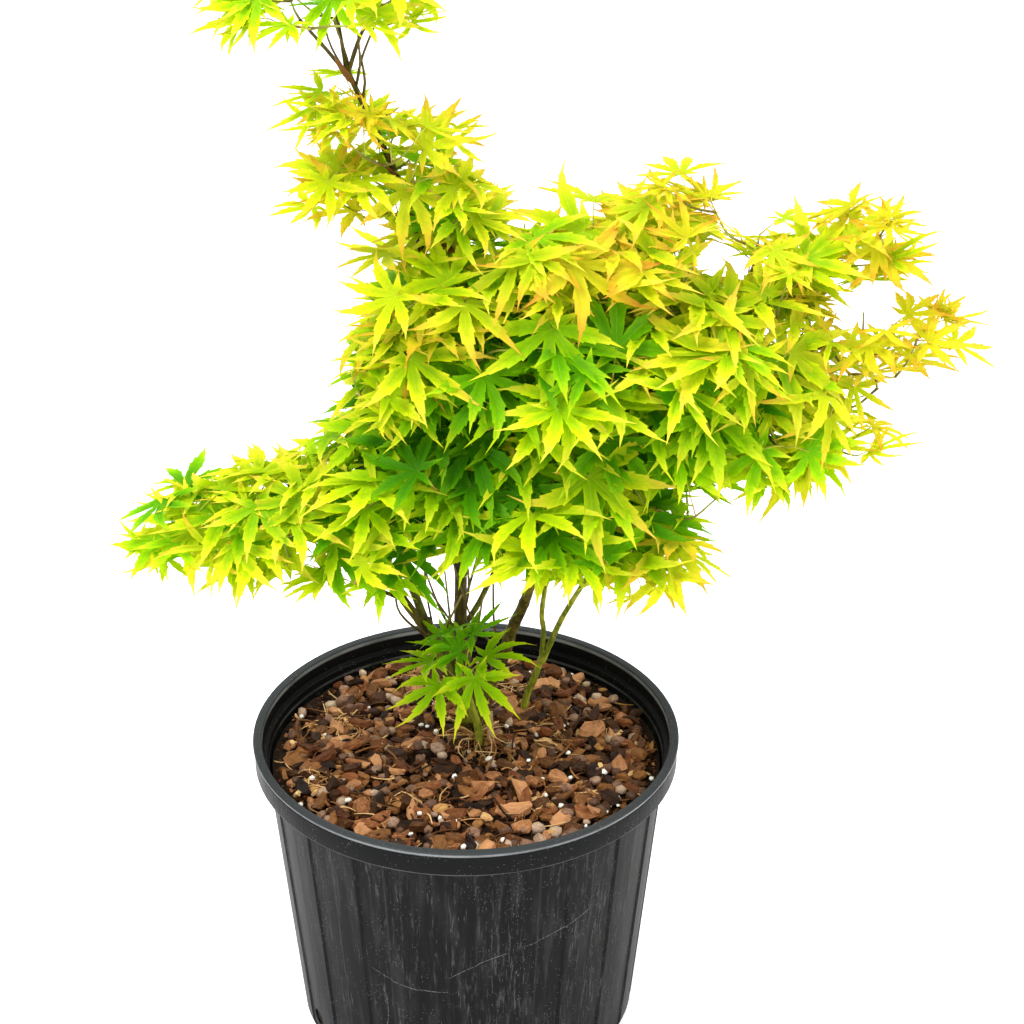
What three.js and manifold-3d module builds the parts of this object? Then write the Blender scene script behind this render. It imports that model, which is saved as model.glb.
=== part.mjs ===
// A young garden maple in a ribbed nursery pot. Millimetres, +Z up, front towards -Y.
// The origin is the centre of the pot's flat underside.
import * as THREE from 'three';
import { mergeVertices } from 'three/addons/utils/BufferGeometryUtils.js';
import Module from 'manifold-3d';

const wasm = await Module();
wasm.setup();

// ---------------------------------------------------------------- driving dimensions

const PIECE_GAP = 0.3;
const CUT_GAP = 0.45;

const POT = {
  height: 208,
  lipRadius: 140,
  lipWidth: 6,
  lipDrop: 2.8,
  bandRadius: 139,
  bandBottom: 191,
  wallTop: 189,
  wallTopRadius: 131,
  wallFoot: 2,
  wallFootRadius: 112,
  wallThickness: 2.6,
  floorThickness: 3,
  innerBandRadius: 133.5,
  ledgeDrop: 11.5,
  ledgeWidth: 3.2,
};

// Raised and sunk panels take turns round the wall, and a raised one starts at the phase.
const FLUTES = { count: 20, depth: 1.2, flankDegrees: 1, phaseDegrees: -4.5 };
const DRAIN_HOLES = { count: 5, radius: 6, centreHeight: 12, sides: 8 };

const SOIL = { top: 189, slices: 32 };
const GROUND = SOIL.top + PIECE_GAP;

const LIMB_SIDES = 6;

// Each limb is one taper along its route, from its thick end to its thin end.
// A stem that stands on the soil has a flat foot, and the trunk's foot spreads as a root flare.
const LIMBS = [
  {
    name: 'trunk',
    bark: 'brown',
    route: [[2, 32, GROUND], [1, 27, 224], [-3, 27, 262], [-3, 30, 321]],
    thick: 9.6,
    thin: 8,
    flare: { radius: 9, height: 13 },
    steps: 8,
  },
  {
    name: 'leader',
    bark: 'brown',
    route: [
      [-4, 30, 322], [-9, 28, 342], [-15, 20, 420], [-20, 8, 521],
      [-31, 5, 575], [-45, 2, 615], [-67, 0, 666],
    ],
    thick: 6.6,
    thin: 3.2,
    steps: 10,
  },
  {
    name: 'trunk_fork',
    bark: 'brown',
    route: [[-2, 30, 320], [3, 30, 343], [20, 20, 397]],
    thick: 5.8,
    thin: 4.8,
    steps: 4,
  },
  {
    name: 'left_stem',
    bark: 'olive',
    route: [[-2, 27, 214], [-18, 26, 256], [-27, 25, 277]],
    thick: 10.4,
    thin: 9,
    steps: 4,
  },
  {
    name: 'left_fork_outer',
    bark: 'brown',
    route: [[-27, 25, 275], [-43, 15, 305], [-51, 2, 343], [-60, -12, 386]],
    thick: 6,
    thin: 4.2,
    steps: 5,
  },
  {
    name: 'left_fork_inner',
    bark: 'olive',
    route: [[-25, 25, 276], [-33, 25, 298], [-44, 20, 335], [-52, 12, 390]],
    thick: 5.4,
    thin: 4,
    steps: 5,
  },
  {
    name: 'left_twig',
    bark: 'olive',
    route: [[-43, 15, 302], [-56, 5, 313], [-67, -10, 330], [-72, -30, 354]],
    thick: 2.4,
    thin: 1.8,
    steps: 4,
  },
  {
    name: 'right_stem',
    bark: 'brown',
    route: [[4, 28, 212], [22, 35, 237], [30, 30, 267], [40, 6, 308], [52, -28, 376]],
    thick: 8.6,
    thin: 5,
    steps: 6,
  },
  {
    name: 'back_twig',
    bark: 'olive',
    route: [[-1, 28, 276], [12, 38, 291], [30, 62, 330], [52, 96, 442]],
    thick: 3.6,
    thin: 2.6,
    steps: 6,
  },
  {
    name: 'green_shoot',
    bark: 'green',
    route: [[37, 52, GROUND], [40, 50, 203], [45, 46, 220], [51, 44, 240]],
    thick: 6.4,
    thin: 5.2,
    steps: 4,
  },
  {
    name: 'green_shoot_fork_left',
    bark: 'green',
    route: [[50.5, 44, 238], [51, 38, 262], [50, 28, 286], [58, -18, 372]],
    thick: 3.4,
    thin: 2.6,
    steps: 4,
  },
  {
    name: 'green_shoot_fork_right',
    bark: 'green',
    route: [[51.5, 44, 238], [60, 35, 266], [67, 18, 292], [92, -20, 362]],
    thick: 3.8,
    thin: 2.8,
    steps: 5,
  },
  {
    name: 'basal_stem',
    bark: 'green',
    route: [[9, 12, GROUND], [8, 10, 203], [4, 6, 222], [-2, 2, 246]],
    thick: 6.6,
    thin: 4,
    steps: 4,
  },
  {
    name: 'stem_stub',
    bark: 'straw',
    route: [[16.5, 9, GROUND], [16, 9.5, 200], [15.5, 10, 216]],
    thick: 5,
    thin: 4,
    steps: 2,
  },
  {
    name: 'top_fork_left',
    bark: 'brown',
    route: [[-67, 0, 664], [-78, -3, 680], [-92, -5, 698]],
    thick: 2.4,
    thin: 1.8,
    steps: 3,
  },
  {
    name: 'top_fork_middle',
    bark: 'brown',
    route: [[-67, 0, 664], [-69, 5, 682], [-72, 8, 700]],
    thick: 2.4,
    thin: 1.8,
    steps: 3,
  },
  {
    name: 'top_fork_right',
    bark: 'brown',
    route: [[-67, 0, 664], [-57, 0, 688], [-46, 3, 703]],
    thick: 2.6,
    thin: 1.8,
    steps: 3,
  },
  {
    name: 'bough_high_right',
    bark: 'brown',
    route: [[150, 10, 486], [170, 15, 498], [185, 20, 510], [196, 24, 524]],
    thick: 4.2,
    thin: 3,
    steps: 4,
  },
  {
    name: 'bough_right_tip',
    bark: 'brown',
    route: [[172, 0, 470], [205, 8, 479], [238, 10, 486]],
    thick: 3.8,
    thin: 2.6,
    steps: 3,
  },
];

// Each mass of leaves is one uneven closed lump that fills its box: centre and half sizes.
const LEAF_MASSES = [
  { name: 'leaf_mass_top_left', tint: 'lime', at: [-112, 0, 708], half: [43, 38, 21] },
  { name: 'leaf_mass_top_right', tint: 'lime', at: [-43, 5, 712], half: [42, 40, 24] },
  { name: 'leaf_mass_leader_high_left', tint: 'gold', at: [-70, -6, 645], half: [36, 33, 18] },
  { name: 'leaf_mass_leader_high_right', tint: 'gold', at: [-22, 0, 621], half: [38, 35, 20] },
  { name: 'leaf_mass_leader_low_left', tint: 'lime', at: [-76, -6, 594], half: [39, 34, 19] },
  { name: 'leaf_mass_leader_low_right', tint: 'lime', at: [-9, 5, 580], half: [36, 38, 22] },
  { name: 'leaf_mass_crown_left_high', tint: 'lime', at: [-36, 5, 532], half: [49, 57, 26] },
  { name: 'leaf_mass_crown_left_middle', tint: 'gold', at: [-33, -8, 481], half: [52, 62, 33] },
  { name: 'leaf_mass_crown_centre_high', tint: 'lime', at: [59, 15, 546], half: [51, 62, 36] },
  { name: 'leaf_mass_crown_right_high', tint: 'gold', at: [126, 20, 555], half: [47, 57, 36] },
  { name: 'leaf_mass_crown_centre_middle', tint: 'lime', at: [59, -25, 483], half: [58, 66, 40] },
  { name: 'leaf_mass_crown_right_middle', tint: 'lime', at: [139, -5, 484], half: [54, 64, 40] },
  { name: 'leaf_mass_high_right_inner', tint: 'lime', at: [196, 25, 528], half: [30, 46, 36] },
  { name: 'leaf_mass_high_right_tip', tint: 'gold', at: [246, 30, 546], half: [38, 43, 27] },
  { name: 'leaf_mass_right_tip', tint: 'gold', at: [268, 10, 487], half: [56, 43, 26] },
  { name: 'leaf_mass_low_right_tip', tint: 'lime', at: [231, -10, 438], half: [48, 51, 36] },
  { name: 'leaf_mass_low_right_inner', tint: 'green', at: [164, -20, 426], half: [42, 52, 35] },
  { name: 'leaf_mass_low_right', tint: 'lime', at: [118, -35, 370], half: [45, 51, 38] },
  { name: 'leaf_mass_low_centre', tint: 'green', at: [53, -50, 394], half: [55, 52, 45] },
  { name: 'leaf_mass_left_inner', tint: 'green', at: [-48, -22, 410], half: [52, 58, 45] },
  { name: 'leaf_mass_left_low', tint: 'lime', at: [-56, -45, 362], half: [39, 41, 24] },
  { name: 'leaf_mass_left_middle', tint: 'lime', at: [-120, -20, 377], half: [48, 52, 43] },
  { name: 'leaf_mass_left_tip', tint: 'lime', at: [-177, -15, 371], half: [39, 43, 32] },
  { name: 'leaf_mass_core', tint: 'green', at: [8, 18, 432], half: [52, 58, 42] },
  { name: 'leaf_mass_back_left', tint: 'green', at: [-18, 88, 444], half: [52, 52, 38] },
  { name: 'leaf_mass_back_centre', tint: 'green', at: [60, 104, 464], half: [54, 52, 42] },
  { name: 'leaf_mass_back_right', tint: 'green', at: [138, 88, 462], half: [52, 52, 38] },
  { name: 'leaf_mass_basal', tint: 'green', at: [-3, -8, 262], half: [43, 36, 36] },
];

// How far a mass bulges and dips, and how many times round it does so.
const LUMPS = { height: [0.12, 0.09, 0.08], count: [5, 6, 4], phaseStep: 1.9 };
const LARGE_MASS = 145;


// ---------------------------------------------------------------- materials

const paint = (color, roughness) => new THREE.MeshStandardMaterial({
  color,
  roughness,
  metalness: 0,
});

const BARK = { brown: 0x5b4527, olive: 0x76702c, green: 0x87a83a, straw: 0xb08a56 };
const LEAF = { lime: 0xb3d626, gold: 0xd9cb38, green: 0x6ba524 };

// ---------------------------------------------------------------- solids

// Leaves only positions, with shared corners merged and collapsed faces dropped.
function cleaned(geometry) {
  const bare = geometry.clone();
  bare.deleteAttribute('normal');
  bare.deleteAttribute('uv');
  const merged = mergeVertices(bare, 1e-3);
  const kept = [];
  for (let i = 0; i < merged.index.count; i += 3) {
    const [a, b, c] = [0, 1, 2].map((k) => merged.index.getX(i + k));
    if (a !== b && b !== c && c !== a) kept.push(a, b, c);
  }
  merged.setIndex(kept);
  return merged;
}

function toSolid(geometry) {
  const mesh = cleaned(geometry);
  return new wasm.Manifold(new wasm.Mesh({
    numProp: 3,
    vertProperties: new Float32Array(mesh.attributes.position.array),
    triVerts: new Uint32Array(mesh.index.array),
  }));
}

function toGeometry(solid) {
  const mesh = solid.getMesh();
  const geometry = new THREE.BufferGeometry();
  geometry.setAttribute('position', new THREE.BufferAttribute(mesh.vertProperties, 3));
  geometry.setIndex(new THREE.BufferAttribute(mesh.triVerts, 1));
  geometry.computeVertexNormals();
  return geometry;
}

// The largest body of a solid that a cut may have left in several.
function largestBody(solid) {
  return solid.decompose().reduce((best, body) => (body.volume() > best.volume() ? body : best));
}

function touches(a, b) {
  const boxA = a.boundingBox();
  const boxB = b.boundingBox();
  return [0, 1, 2].every((k) => boxA.min[k] < boxB.max[k] && boxB.min[k] < boxA.max[k]);
}

// ---------------------------------------------------------------- pot and soil

function wallRadiusAt(z) {
  const rise = (z - POT.wallFoot) / (POT.wallTop - POT.wallFoot);
  return POT.wallFootRadius + (POT.wallTopRadius - POT.wallFootRadius) * rise;
}

function innerRadiusAt(z) {
  return wallRadiusAt(z) - POT.wallThickness;
}

// The pot's section, up the outside and down the inside, as radius and height.
function potProfile() {
  const lipFoot = POT.height - POT.lipDrop;
  const ledge = POT.height - POT.ledgeDrop;
  const lipInner = POT.lipRadius - POT.lipWidth;
  return [
    [0, 0],
    [POT.wallFootRadius - 1, 0],
    [POT.wallFootRadius, POT.wallFoot],
    [POT.wallTopRadius, POT.wallTop],
    [POT.bandRadius - 0.4, POT.bandBottom],
    [POT.bandRadius, lipFoot - 0.6],
    [POT.lipRadius, lipFoot],
    [POT.lipRadius - 0.7, POT.height],
    [lipInner + 0.5, POT.height],
    [POT.innerBandRadius, ledge],
    [POT.innerBandRadius - POT.ledgeWidth, ledge - 0.5],
    [innerRadiusAt(POT.floorThickness), POT.floorThickness],
    [0, POT.floorThickness],
  ];
}

const WALL_FOOT_INDEX = 2;
const WALL_TOP_INDEX = 3;

// The angle where flute number index starts, counted round from the front.
function fluteStart(index) {
  return THREE.MathUtils.degToRad(FLUTES.phaseDegrees) + (2 * Math.PI * index) / FLUTES.count;
}

// Every flute has four columns of corners: two on the raised panel and two on the sunk one.
function flutedPot() {
  const profile = potProfile();
  const columns = FLUTES.count * 4;
  const points = profile.map(([radius, height]) => new THREE.Vector2(radius, height));
  const pot = new THREE.LatheGeometry(points, columns);
  const position = pot.attributes.position;
  const pitch = (2 * Math.PI) / FLUTES.count;
  const flank = THREE.MathUtils.degToRad(FLUTES.flankDegrees);
  const cornerAngles = [0, pitch / 2 - flank, pitch / 2, pitch - flank];
  for (let i = 0; i < position.count; i += 1) {
    const column = Math.floor(i / profile.length) % columns;
    const row = i % profile.length;
    const corner = column % 4;
    const angle = fluteStart(Math.floor(column / 4)) + cornerAngles[corner];
    const onWall = row === WALL_FOOT_INDEX || row === WALL_TOP_INDEX;
    const sunk = onWall && corner >= 2 ? FLUTES.depth : 0;
    const radius = profile[row][0] - sunk;
    position.setXYZ(i, radius * Math.sin(angle), profile[row][1], radius * Math.cos(angle));
  }
  pot.rotateX(Math.PI / 2);
  return pot;
}

// A round hole through the wall, in the middle of a sunk panel.
function drainHole(index) {
  const reach = 2 * (POT.wallFootRadius - innerRadiusAt(DRAIN_HOLES.centreHeight) + 12);
  const drill = new THREE.CylinderGeometry(
    DRAIN_HOLES.radius,
    DRAIN_HOLES.radius,
    reach,
    DRAIN_HOLES.sides,
  );
  const sunkMiddle = 0.75;
  const angle = fluteStart(sunkMiddle + index * (FLUTES.count / DRAIN_HOLES.count));
  drill.translate(0, POT.wallFootRadius, 0);
  drill.rotateZ(-angle + Math.PI);
  drill.translate(0, 0, DRAIN_HOLES.centreHeight);
  return drill;
}

function potSolid() {
  let pot = toSolid(flutedPot());
  for (let i = 0; i < DRAIN_HOLES.count; i += 1) {
    pot = pot.subtract(toSolid(drainHole(i)));
  }
  return pot;
}

function soilSolid() {
  const bottom = POT.floorThickness + PIECE_GAP;
  const chordShrink = Math.cos(Math.PI / FLUTES.count / 2);
  const profile = [
    [0, bottom],
    [innerRadiusAt(bottom) * chordShrink - PIECE_GAP, bottom],
    [innerRadiusAt(SOIL.top) * chordShrink - PIECE_GAP, SOIL.top],
    [0, SOIL.top],
  ];
  const points = profile.map(([radius, height]) => new THREE.Vector2(radius, height));
  return toSolid(new THREE.LatheGeometry(points, SOIL.slices).rotateX(Math.PI / 2));
}

// ---------------------------------------------------------------- limbs

function limbRadius(limb, t, length) {
  const taper = THREE.MathUtils.lerp(limb.thick, limb.thin, t) / 2;
  if (!limb.flare) return taper;
  return taper + limb.flare.radius * Math.exp((-t * length) / limb.flare.height);
}

// A cylinder laid along the limb's route, each ring square to it and as wide as the taper asks.
// The clearance fattens and lengthens it, for cutting room out of what lies round it.
function limbGeometry(limb, clearance = 0) {
  const route = limb.route.map((point) => new THREE.Vector3(...point));
  const curve = new THREE.CatmullRomCurve3(route, false, 'centripetal');
  const length = curve.getLength();
  const frames = curve.computeFrenetFrames(limb.steps);
  const tube = new THREE.CylinderGeometry(1, 1, 1, LIMB_SIDES, limb.steps);
  const position = tube.attributes.position;
  for (let i = 0; i < position.count; i += 1) {
    const t = position.getY(i) + 0.5;
    const ring = Math.round(t * limb.steps);
    const radius = limbRadius(limb, t, length) + clearance;
    const isEnd = ring === 0 || ring === limb.steps;
    const lengthening = isEnd ? Math.sign(ring - 0.5) * clearance : 0;
    const point = curve.getPointAt(t)
      .addScaledVector(frames.normals[ring], radius * position.getX(i))
      .addScaledVector(frames.binormals[ring], -radius * position.getZ(i))
      .addScaledVector(frames.tangents[ring], lengthening);
    const flatFoot = ring === 0 && limb.route[0][2] === GROUND;
    position.setXYZ(i, point.x, point.y, flatFoot ? GROUND - clearance : point.z);
  }
  return tube;
}

// ---------------------------------------------------------------- leaf masses

function lumpiness(direction, phase) {
  const [a, b, c] = LUMPS.height;
  const [p, q, r] = LUMPS.count;
  return 1
    + a * Math.sin(p * direction.x + phase)
    + b * Math.sin(q * direction.y + 1.7 * phase)
    + c * Math.sin(r * direction.z + 2.3 * phase + 3 * direction.x);
}

function massGeometry(mass, index) {
  const isLarge = mass.half[0] + mass.half[1] + mass.half[2] > LARGE_MASS;
  const ball = cleaned(new THREE.IcosahedronGeometry(1, isLarge ? 2 : 1));
  const position = ball.attributes.position;
  const point = new THREE.Vector3();
  for (let i = 0; i < position.count; i += 1) {
    point.fromBufferAttribute(position, i).normalize();
    point.multiplyScalar(lumpiness(point, (index + 1) * LUMPS.phaseStep));
    position.setXYZ(i, point.x, point.y, point.z);
  }
  ball.computeBoundingBox();
  const size = ball.boundingBox.getSize(new THREE.Vector3());
  const centre = ball.boundingBox.getCenter(new THREE.Vector3());
  ball.translate(-centre.x, -centre.y, -centre.z);
  ball.scale((2 * mass.half[0]) / size.x, (2 * mass.half[1]) / size.y, (2 * mass.half[2]) / size.z);
  ball.translate(...mass.at);
  return ball;
}

// The same lump with every corner pushed out along its normal.
function grownMass(geometry, clearance) {
  const mesh = cleaned(geometry);
  mesh.computeVertexNormals();
  const { position, normal } = mesh.attributes;
  const point = new THREE.Vector3();
  const outward = new THREE.Vector3();
  for (let i = 0; i < position.count; i += 1) {
    outward.fromBufferAttribute(normal, i);
    point.fromBufferAttribute(position, i).addScaledVector(outward, clearance);
    position.setXYZ(i, point.x, point.y, point.z);
  }
  return mesh;
}

// ---------------------------------------------------------------- assembly

function limbPiece(limb) {
  return {
    name: limb.name,
    solid: toSolid(limbGeometry(limb)),
    room: toSolid(limbGeometry(limb, CUT_GAP)),
    material: paint(BARK[limb.bark], 0.75),
  };
}

function massPiece(mass, index) {
  const geometry = massGeometry(mass, index);
  return {
    name: mass.name,
    solid: toSolid(geometry),
    room: toSolid(grownMass(geometry, CUT_GAP)),
    material: paint(LEAF[mass.tint], 0.6),
  };
}

// Limbs come first, thick before thin, and every later piece is cut clear of the earlier ones.
function plantPieces() {
  const pieces = [...LIMBS.map(limbPiece), ...LEAF_MASSES.map(massPiece)];
  return pieces.map((piece, index) => {
    let solid = piece.solid;
    for (const earlier of pieces.slice(0, index)) {
      if (touches(solid, earlier.room)) solid = solid.subtract(earlier.room);
    }
    return { ...piece, solid: largestBody(solid) };
  });
}

function addMesh(group, name, solid, material) {
  const mesh = new THREE.Mesh(toGeometry(solid), material);
  mesh.name = name;
  group.add(mesh);
}

const plantInPot = new THREE.Group();
addMesh(plantInPot, 'pot', potSolid(), paint(0x1c1d1f, 0.55));
addMesh(plantInPot, 'soil', soilSolid(), paint(0x5a3a28, 0.95));

const plant = new THREE.Group();
for (const piece of plantPieces()) {
  addMesh(plant, piece.name, piece.solid, piece.material);
}
plantInPot.add(plant);

export default plantInPot;
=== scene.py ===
"""A young garden maple with lime leaves in a ribbed black nursery pot.

Metres, +Z up, the front towards -Y, and the origin under the middle of the pot.
Each piece is modelled by its own operator, listed in the sidebar's Maple panel.
"""
import math

import bpy
import numpy as np
from bpy.props import FloatProperty, FloatVectorProperty, IntProperty, PointerProperty
from bpy.types import Operator, Panel, PropertyGroup
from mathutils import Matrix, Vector


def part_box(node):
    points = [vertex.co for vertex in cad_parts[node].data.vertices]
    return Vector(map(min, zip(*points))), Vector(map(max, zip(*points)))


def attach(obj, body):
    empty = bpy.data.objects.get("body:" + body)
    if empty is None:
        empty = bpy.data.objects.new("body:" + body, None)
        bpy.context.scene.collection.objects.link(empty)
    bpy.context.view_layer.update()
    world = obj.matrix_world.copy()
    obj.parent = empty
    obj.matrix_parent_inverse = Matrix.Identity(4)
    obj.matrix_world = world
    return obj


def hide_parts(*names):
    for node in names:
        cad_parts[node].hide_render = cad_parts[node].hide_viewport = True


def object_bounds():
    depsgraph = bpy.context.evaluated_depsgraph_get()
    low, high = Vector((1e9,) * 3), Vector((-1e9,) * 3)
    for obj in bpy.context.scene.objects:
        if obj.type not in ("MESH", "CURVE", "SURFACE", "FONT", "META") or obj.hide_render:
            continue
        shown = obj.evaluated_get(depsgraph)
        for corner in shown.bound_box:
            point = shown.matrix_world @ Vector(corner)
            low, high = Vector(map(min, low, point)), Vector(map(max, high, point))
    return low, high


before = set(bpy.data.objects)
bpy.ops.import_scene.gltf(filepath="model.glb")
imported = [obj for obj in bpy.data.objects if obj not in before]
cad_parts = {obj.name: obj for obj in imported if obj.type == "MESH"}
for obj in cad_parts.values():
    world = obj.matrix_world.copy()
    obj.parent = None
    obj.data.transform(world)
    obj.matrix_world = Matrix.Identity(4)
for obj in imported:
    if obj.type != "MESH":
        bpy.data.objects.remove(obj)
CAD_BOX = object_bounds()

bl_info = {
    "name": "Garden Maple in a Nursery Pot",
    "version": (1, 0, 0),
    "blender": (4, 5, 0),
    "location": "View3D > Sidebar > Maple",
    "description": "Grows a young maple with lime leaves in a ribbed nursery pot",
    "category": "Object",
}

MM = 0.001
UP = np.array((0.0, 0.0, 1.0))
BODY = "root"
# The name of the leaves' map.
LEAF_UV = "OFBake"
POT_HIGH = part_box("pot")[1]
SOIL_LOW, SOIL_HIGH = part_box("soil")
SOIL_RADIUS = SOIL_HIGH.x

# Each limb: the node it stands for, its bark, its diameter at either end and its route, in millimetres.
# A route starts inside the limb or the soil that it grows from.
LIMBS = (
    ("trunk", "brown", 9.6, 8.0, ((2, 32, 184), (1, 27, 224), (-3, 27, 262), (-3, 30, 322))),
    ("leader", "brown", 6.6, 3.2, (
        (-3, 29, 312), (-9, 28, 342), (-15, 20, 420), (-20, 8, 521), (-31, 5, 575),
        (-45, 2, 615), (-67, 0, 668))),
    ("trunk_fork", "brown", 5.8, 4.8, ((-3, 30, 310), (3, 30, 343), (20, 20, 397))),
    ("left_stem", "olive", 10.4, 9.0, ((1, 27, 200), (-6, 27, 226), (-18, 26, 256), (-27, 25, 277))),
    ("left_fork_outer", "brown", 6.6, 4.2, (
        (-24, 25, 268), (-43, 15, 305), (-51, 2, 343), (-60, -12, 386))),
    ("left_fork_inner", "olive", 6.0, 4.0, (
        (-24, 25, 268), (-33, 25, 298), (-44, 20, 335), (-52, 12, 390))),
    ("left_twig", "olive", 2.6, 1.8, ((-41, 17, 298), (-56, 5, 313), (-67, -10, 330), (-72, -30, 354))),
    ("right_stem", "brown", 9.2, 5.0, (
        (2, 28, 200), (22, 35, 237), (30, 30, 267), (40, 6, 308), (52, -28, 376))),
    ("back_twig", "olive", 3.8, 2.6, ((-3, 28, 268), (12, 38, 291), (30, 62, 330), (52, 96, 442))),
    ("green_shoot", "green", 5.0, 4.2, ((37, 52, 184), (40, 50, 203), (45, 46, 220), (51, 44, 241))),
    ("green_shoot_fork_left", "green", 3.8, 2.6, (
        (50, 44.5, 234), (51, 38, 262), (50, 28, 286), (58, -18, 372))),
    ("green_shoot_fork_right", "green", 4.2, 2.8, (
        (50, 44.5, 234), (60, 35, 266), (67, 18, 292), (92, -20, 362))),
    ("basal_stem", "green", 6.0, 4.0, ((9, 12, 184), (8, 10, 203), (4, 6, 222), (-2, 2, 246))),
    ("stem_stub", "straw", 5.0, 4.0, ((16.5, 9, 184), (16, 9.5, 200), (15.5, 10, 216))),
    ("top_fork_left", "brown", 2.6, 1.8, ((-65, 0, 662), (-78, -3, 680), (-92, -5, 698))),
    ("top_fork_middle", "brown", 2.6, 1.8, ((-66, 0, 662), (-69, 5, 682), (-72, 8, 700))),
    ("top_fork_right", "brown", 2.8, 1.8, ((-66, 0, 662), (-57, 0, 688), (-46, 3, 703))),
    ("bough_high_right", "brown", 4.2, 3.0, (
        (150, 10, 486), (170, 15, 498), (185, 20, 510), (196, 24, 524))),
    ("bough_right_tip", "brown", 3.8, 2.6, ((172, 0, 470), (205, 8, 479), (238, 10, 486))),
)
# Each bark: its material slot and its dark and light colours.
BARKS = {
    "brown": ("brown_bark", (0.022, 0.016, 0.001), (0.120, 0.092, 0.009)),
    "olive": ("olive_bark", (0.040, 0.038, 0.002), (0.20, 0.20, 0.012)),
    "green": ("green_bark", (0.10, 0.13, 0.005), (0.36, 0.38, 0.03)),
    "straw": ("dry_stem", (0.25, 0.14, 0.05), (0.55, 0.36, 0.17)),
}
# Where the dry fibres at the foot of the stems spring from, in millimetres.
FOOT = (7, 16)

# Each spray: the mass it stands for, how far apart its shoots end and the length of its leaves, both in
# millimetres, its tints from the outermost leaves to the innermost, the inner ones darker and greener as
# partly painted shade, and the young pairs that end a shoot.
SPRAYS = (
    ("core", 33, 54, ("fresh", "deep", "deep"), 0),
    ("left_inner", 35, 54, ("lime", "mid", "deep"), 0),
    ("low_centre", 36, 58, ("lime", "fresh", "deep"), 0),
    ("crown_centre_middle", 38, 62, ("lime", "mid", "deep"), 0),
    ("crown_right_middle", 38, 62, ("lime", "lime", "mid"), 1),
    ("back_left", 38, 55, ("lime", "fresh", "mid"), 1),
    ("back_centre", 38, 55, ("lime", "fresh", "mid"), 1),
    ("back_right", 38, 55, ("lime", "fresh", "mid"), 1),
    ("low_right_inner", 37, 56, ("lime", "fresh", "mid"), 0),
    ("low_right", 37, 56, ("yellow", "yellow", "fresh"), 1),
    ("crown_left_middle", 35, 52, ("yellow", "lime", "mid"), 1),
    ("crown_left_high", 34, 50, ("yellow", "lime", "mid"), 1),
    ("crown_centre_high", 37, 56, ("yellow", "lime", "fresh"), 1),
    ("crown_right_high", 34, 50, ("yellow", "yellow", "fresh"), 2),
    ("high_right_inner", 34, 50, ("yellow", "yellow", "lime"), 1),
    ("left_middle", 35, 54, ("yellow", "lime", "mid"), 1),
    ("left_low", 36, 52, ("lime", "lime", "mid"), 0),
    ("left_tip", 33, 48, ("lime", "lime", "mid"), 1),
    ("low_right_tip", 36, 50, ("yellow", "yellow", "fresh"), 2),
    ("high_right_tip", 27, 42, ("gold", "yellow", "lime"), 2),
    ("right_tip", 26, 38, ("gold", "gold", "yellow"), 2),
    ("leader_low_left", 30, 46, ("yellow", "yellow", "lime"), 1),
    ("leader_low_right", 30, 46, ("yellow", "lime", "lime"), 1),
    ("leader_high_left", 26, 42, ("yellow", "yellow", "lime"), 2),
    ("leader_high_right", 27, 44, ("yellow", "yellow", "lime"), 2),
    ("top_left", 28, 46, ("lime", "lime", "fresh"), 1),
    ("top_right", 29, 46, ("yellow", "lime", "fresh"), 1),
)
# Soft parts of the crown that close the gaps between masses: the middle and half size, in millimetres,
# and then the same as for a spray.
JOINS = (
    ("middle", (104, -8, 430), (46, 52, 36), 37, 58, ("fresh", "mid", "deep")),
    ("skirt", (6, -14, 392), (46, 44, 28), 35, 52, ("fresh", "mid", "deep")),
    ("shoulder", (12, -2, 512), (40, 52, 36), 35, 54, ("lime", "fresh", "deep")),
    ("top_middle", (-72, 3, 700), (28, 30, 18), 29, 42, ("lime", "lime", "fresh")),
    ("leader_middle", (-46, 0, 610), (30, 30, 22), 28, 44, ("yellow", "lime", "fresh")),
    ("right_middle", (204, 4, 466), (36, 42, 28), 33, 48, ("yellow", "yellow", "fresh")),
)
# Where the sky shows through, seen from the front: the middle along and up, and its half size, in
# millimetres. The height is where the sight line crosses the upright plane through the origin.
OPENINGS = (
    ((158, 549), (19, 12)),
    ((173, 580), (16, 14)),
    ((247, 517), (20, 13)),
    ((285, 459), (27, 12)),
    ((164, 368), (17, 22)),
    ((42, 589), (12, 25)),
    ((-176, 428), (40, 12)),
    ((-94, 478), (18, 42)),
    ((-90, 537), (20, 30)),
    ((-135, 300), (94, 16)),
    ((-192, 309), (38, 18)),
    ((252, 386), (40, 20)),
    ((135, 291), (34, 14)),
)
# Where leaves are painted darker and greener as painted shade (a negative shift) and brighter and more
# golden, partly real colour and partly painted light (a positive shift), seen from the front like the
# openings: the middle and the half size, in millimetres, and by how many tints.
SHADE_AND_LIGHT_PATCHES = (
    ((54, 460), (48, 24), -2),
    ((-8, 418), (42, 33), -2),
    ((168, 484), (15, 14), -1),
    ((190, 520), (26, 30), 1),
    ((104, 506), (46, 18), 1),
    ((263, 501), (54, 34), 1),
    ((232, 446), (46, 34), 1),
    ((246, 579), (42, 34), 1),
    ((124, 345), (30, 30), 1),
    ((101, 567), (48, 40), 1),
    ((-22, 489), (36, 34), 1),
    ((-160, 362), (52, 40), -1),
    ((-82, 636), (24, 20), 1),
    ((-9, 626), (24, 20), 1),
    ((-84, 594), (26, 18), 1),
    ((-40, 570), (20, 20), 1),
    ((-96, 709), (36, 20), -1),
)
CAMERA_PITCH = math.radians(28.75)
SIGHT = math.tan(CAMERA_PITCH)
MASS = "leaf_mass_"
BASAL_MASS = MASS + "basal"

# The part of a leaf's length that shoots keep from the edge of a mass.
ROOM = np.array((0.66, 0.66, 0.22))
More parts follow.
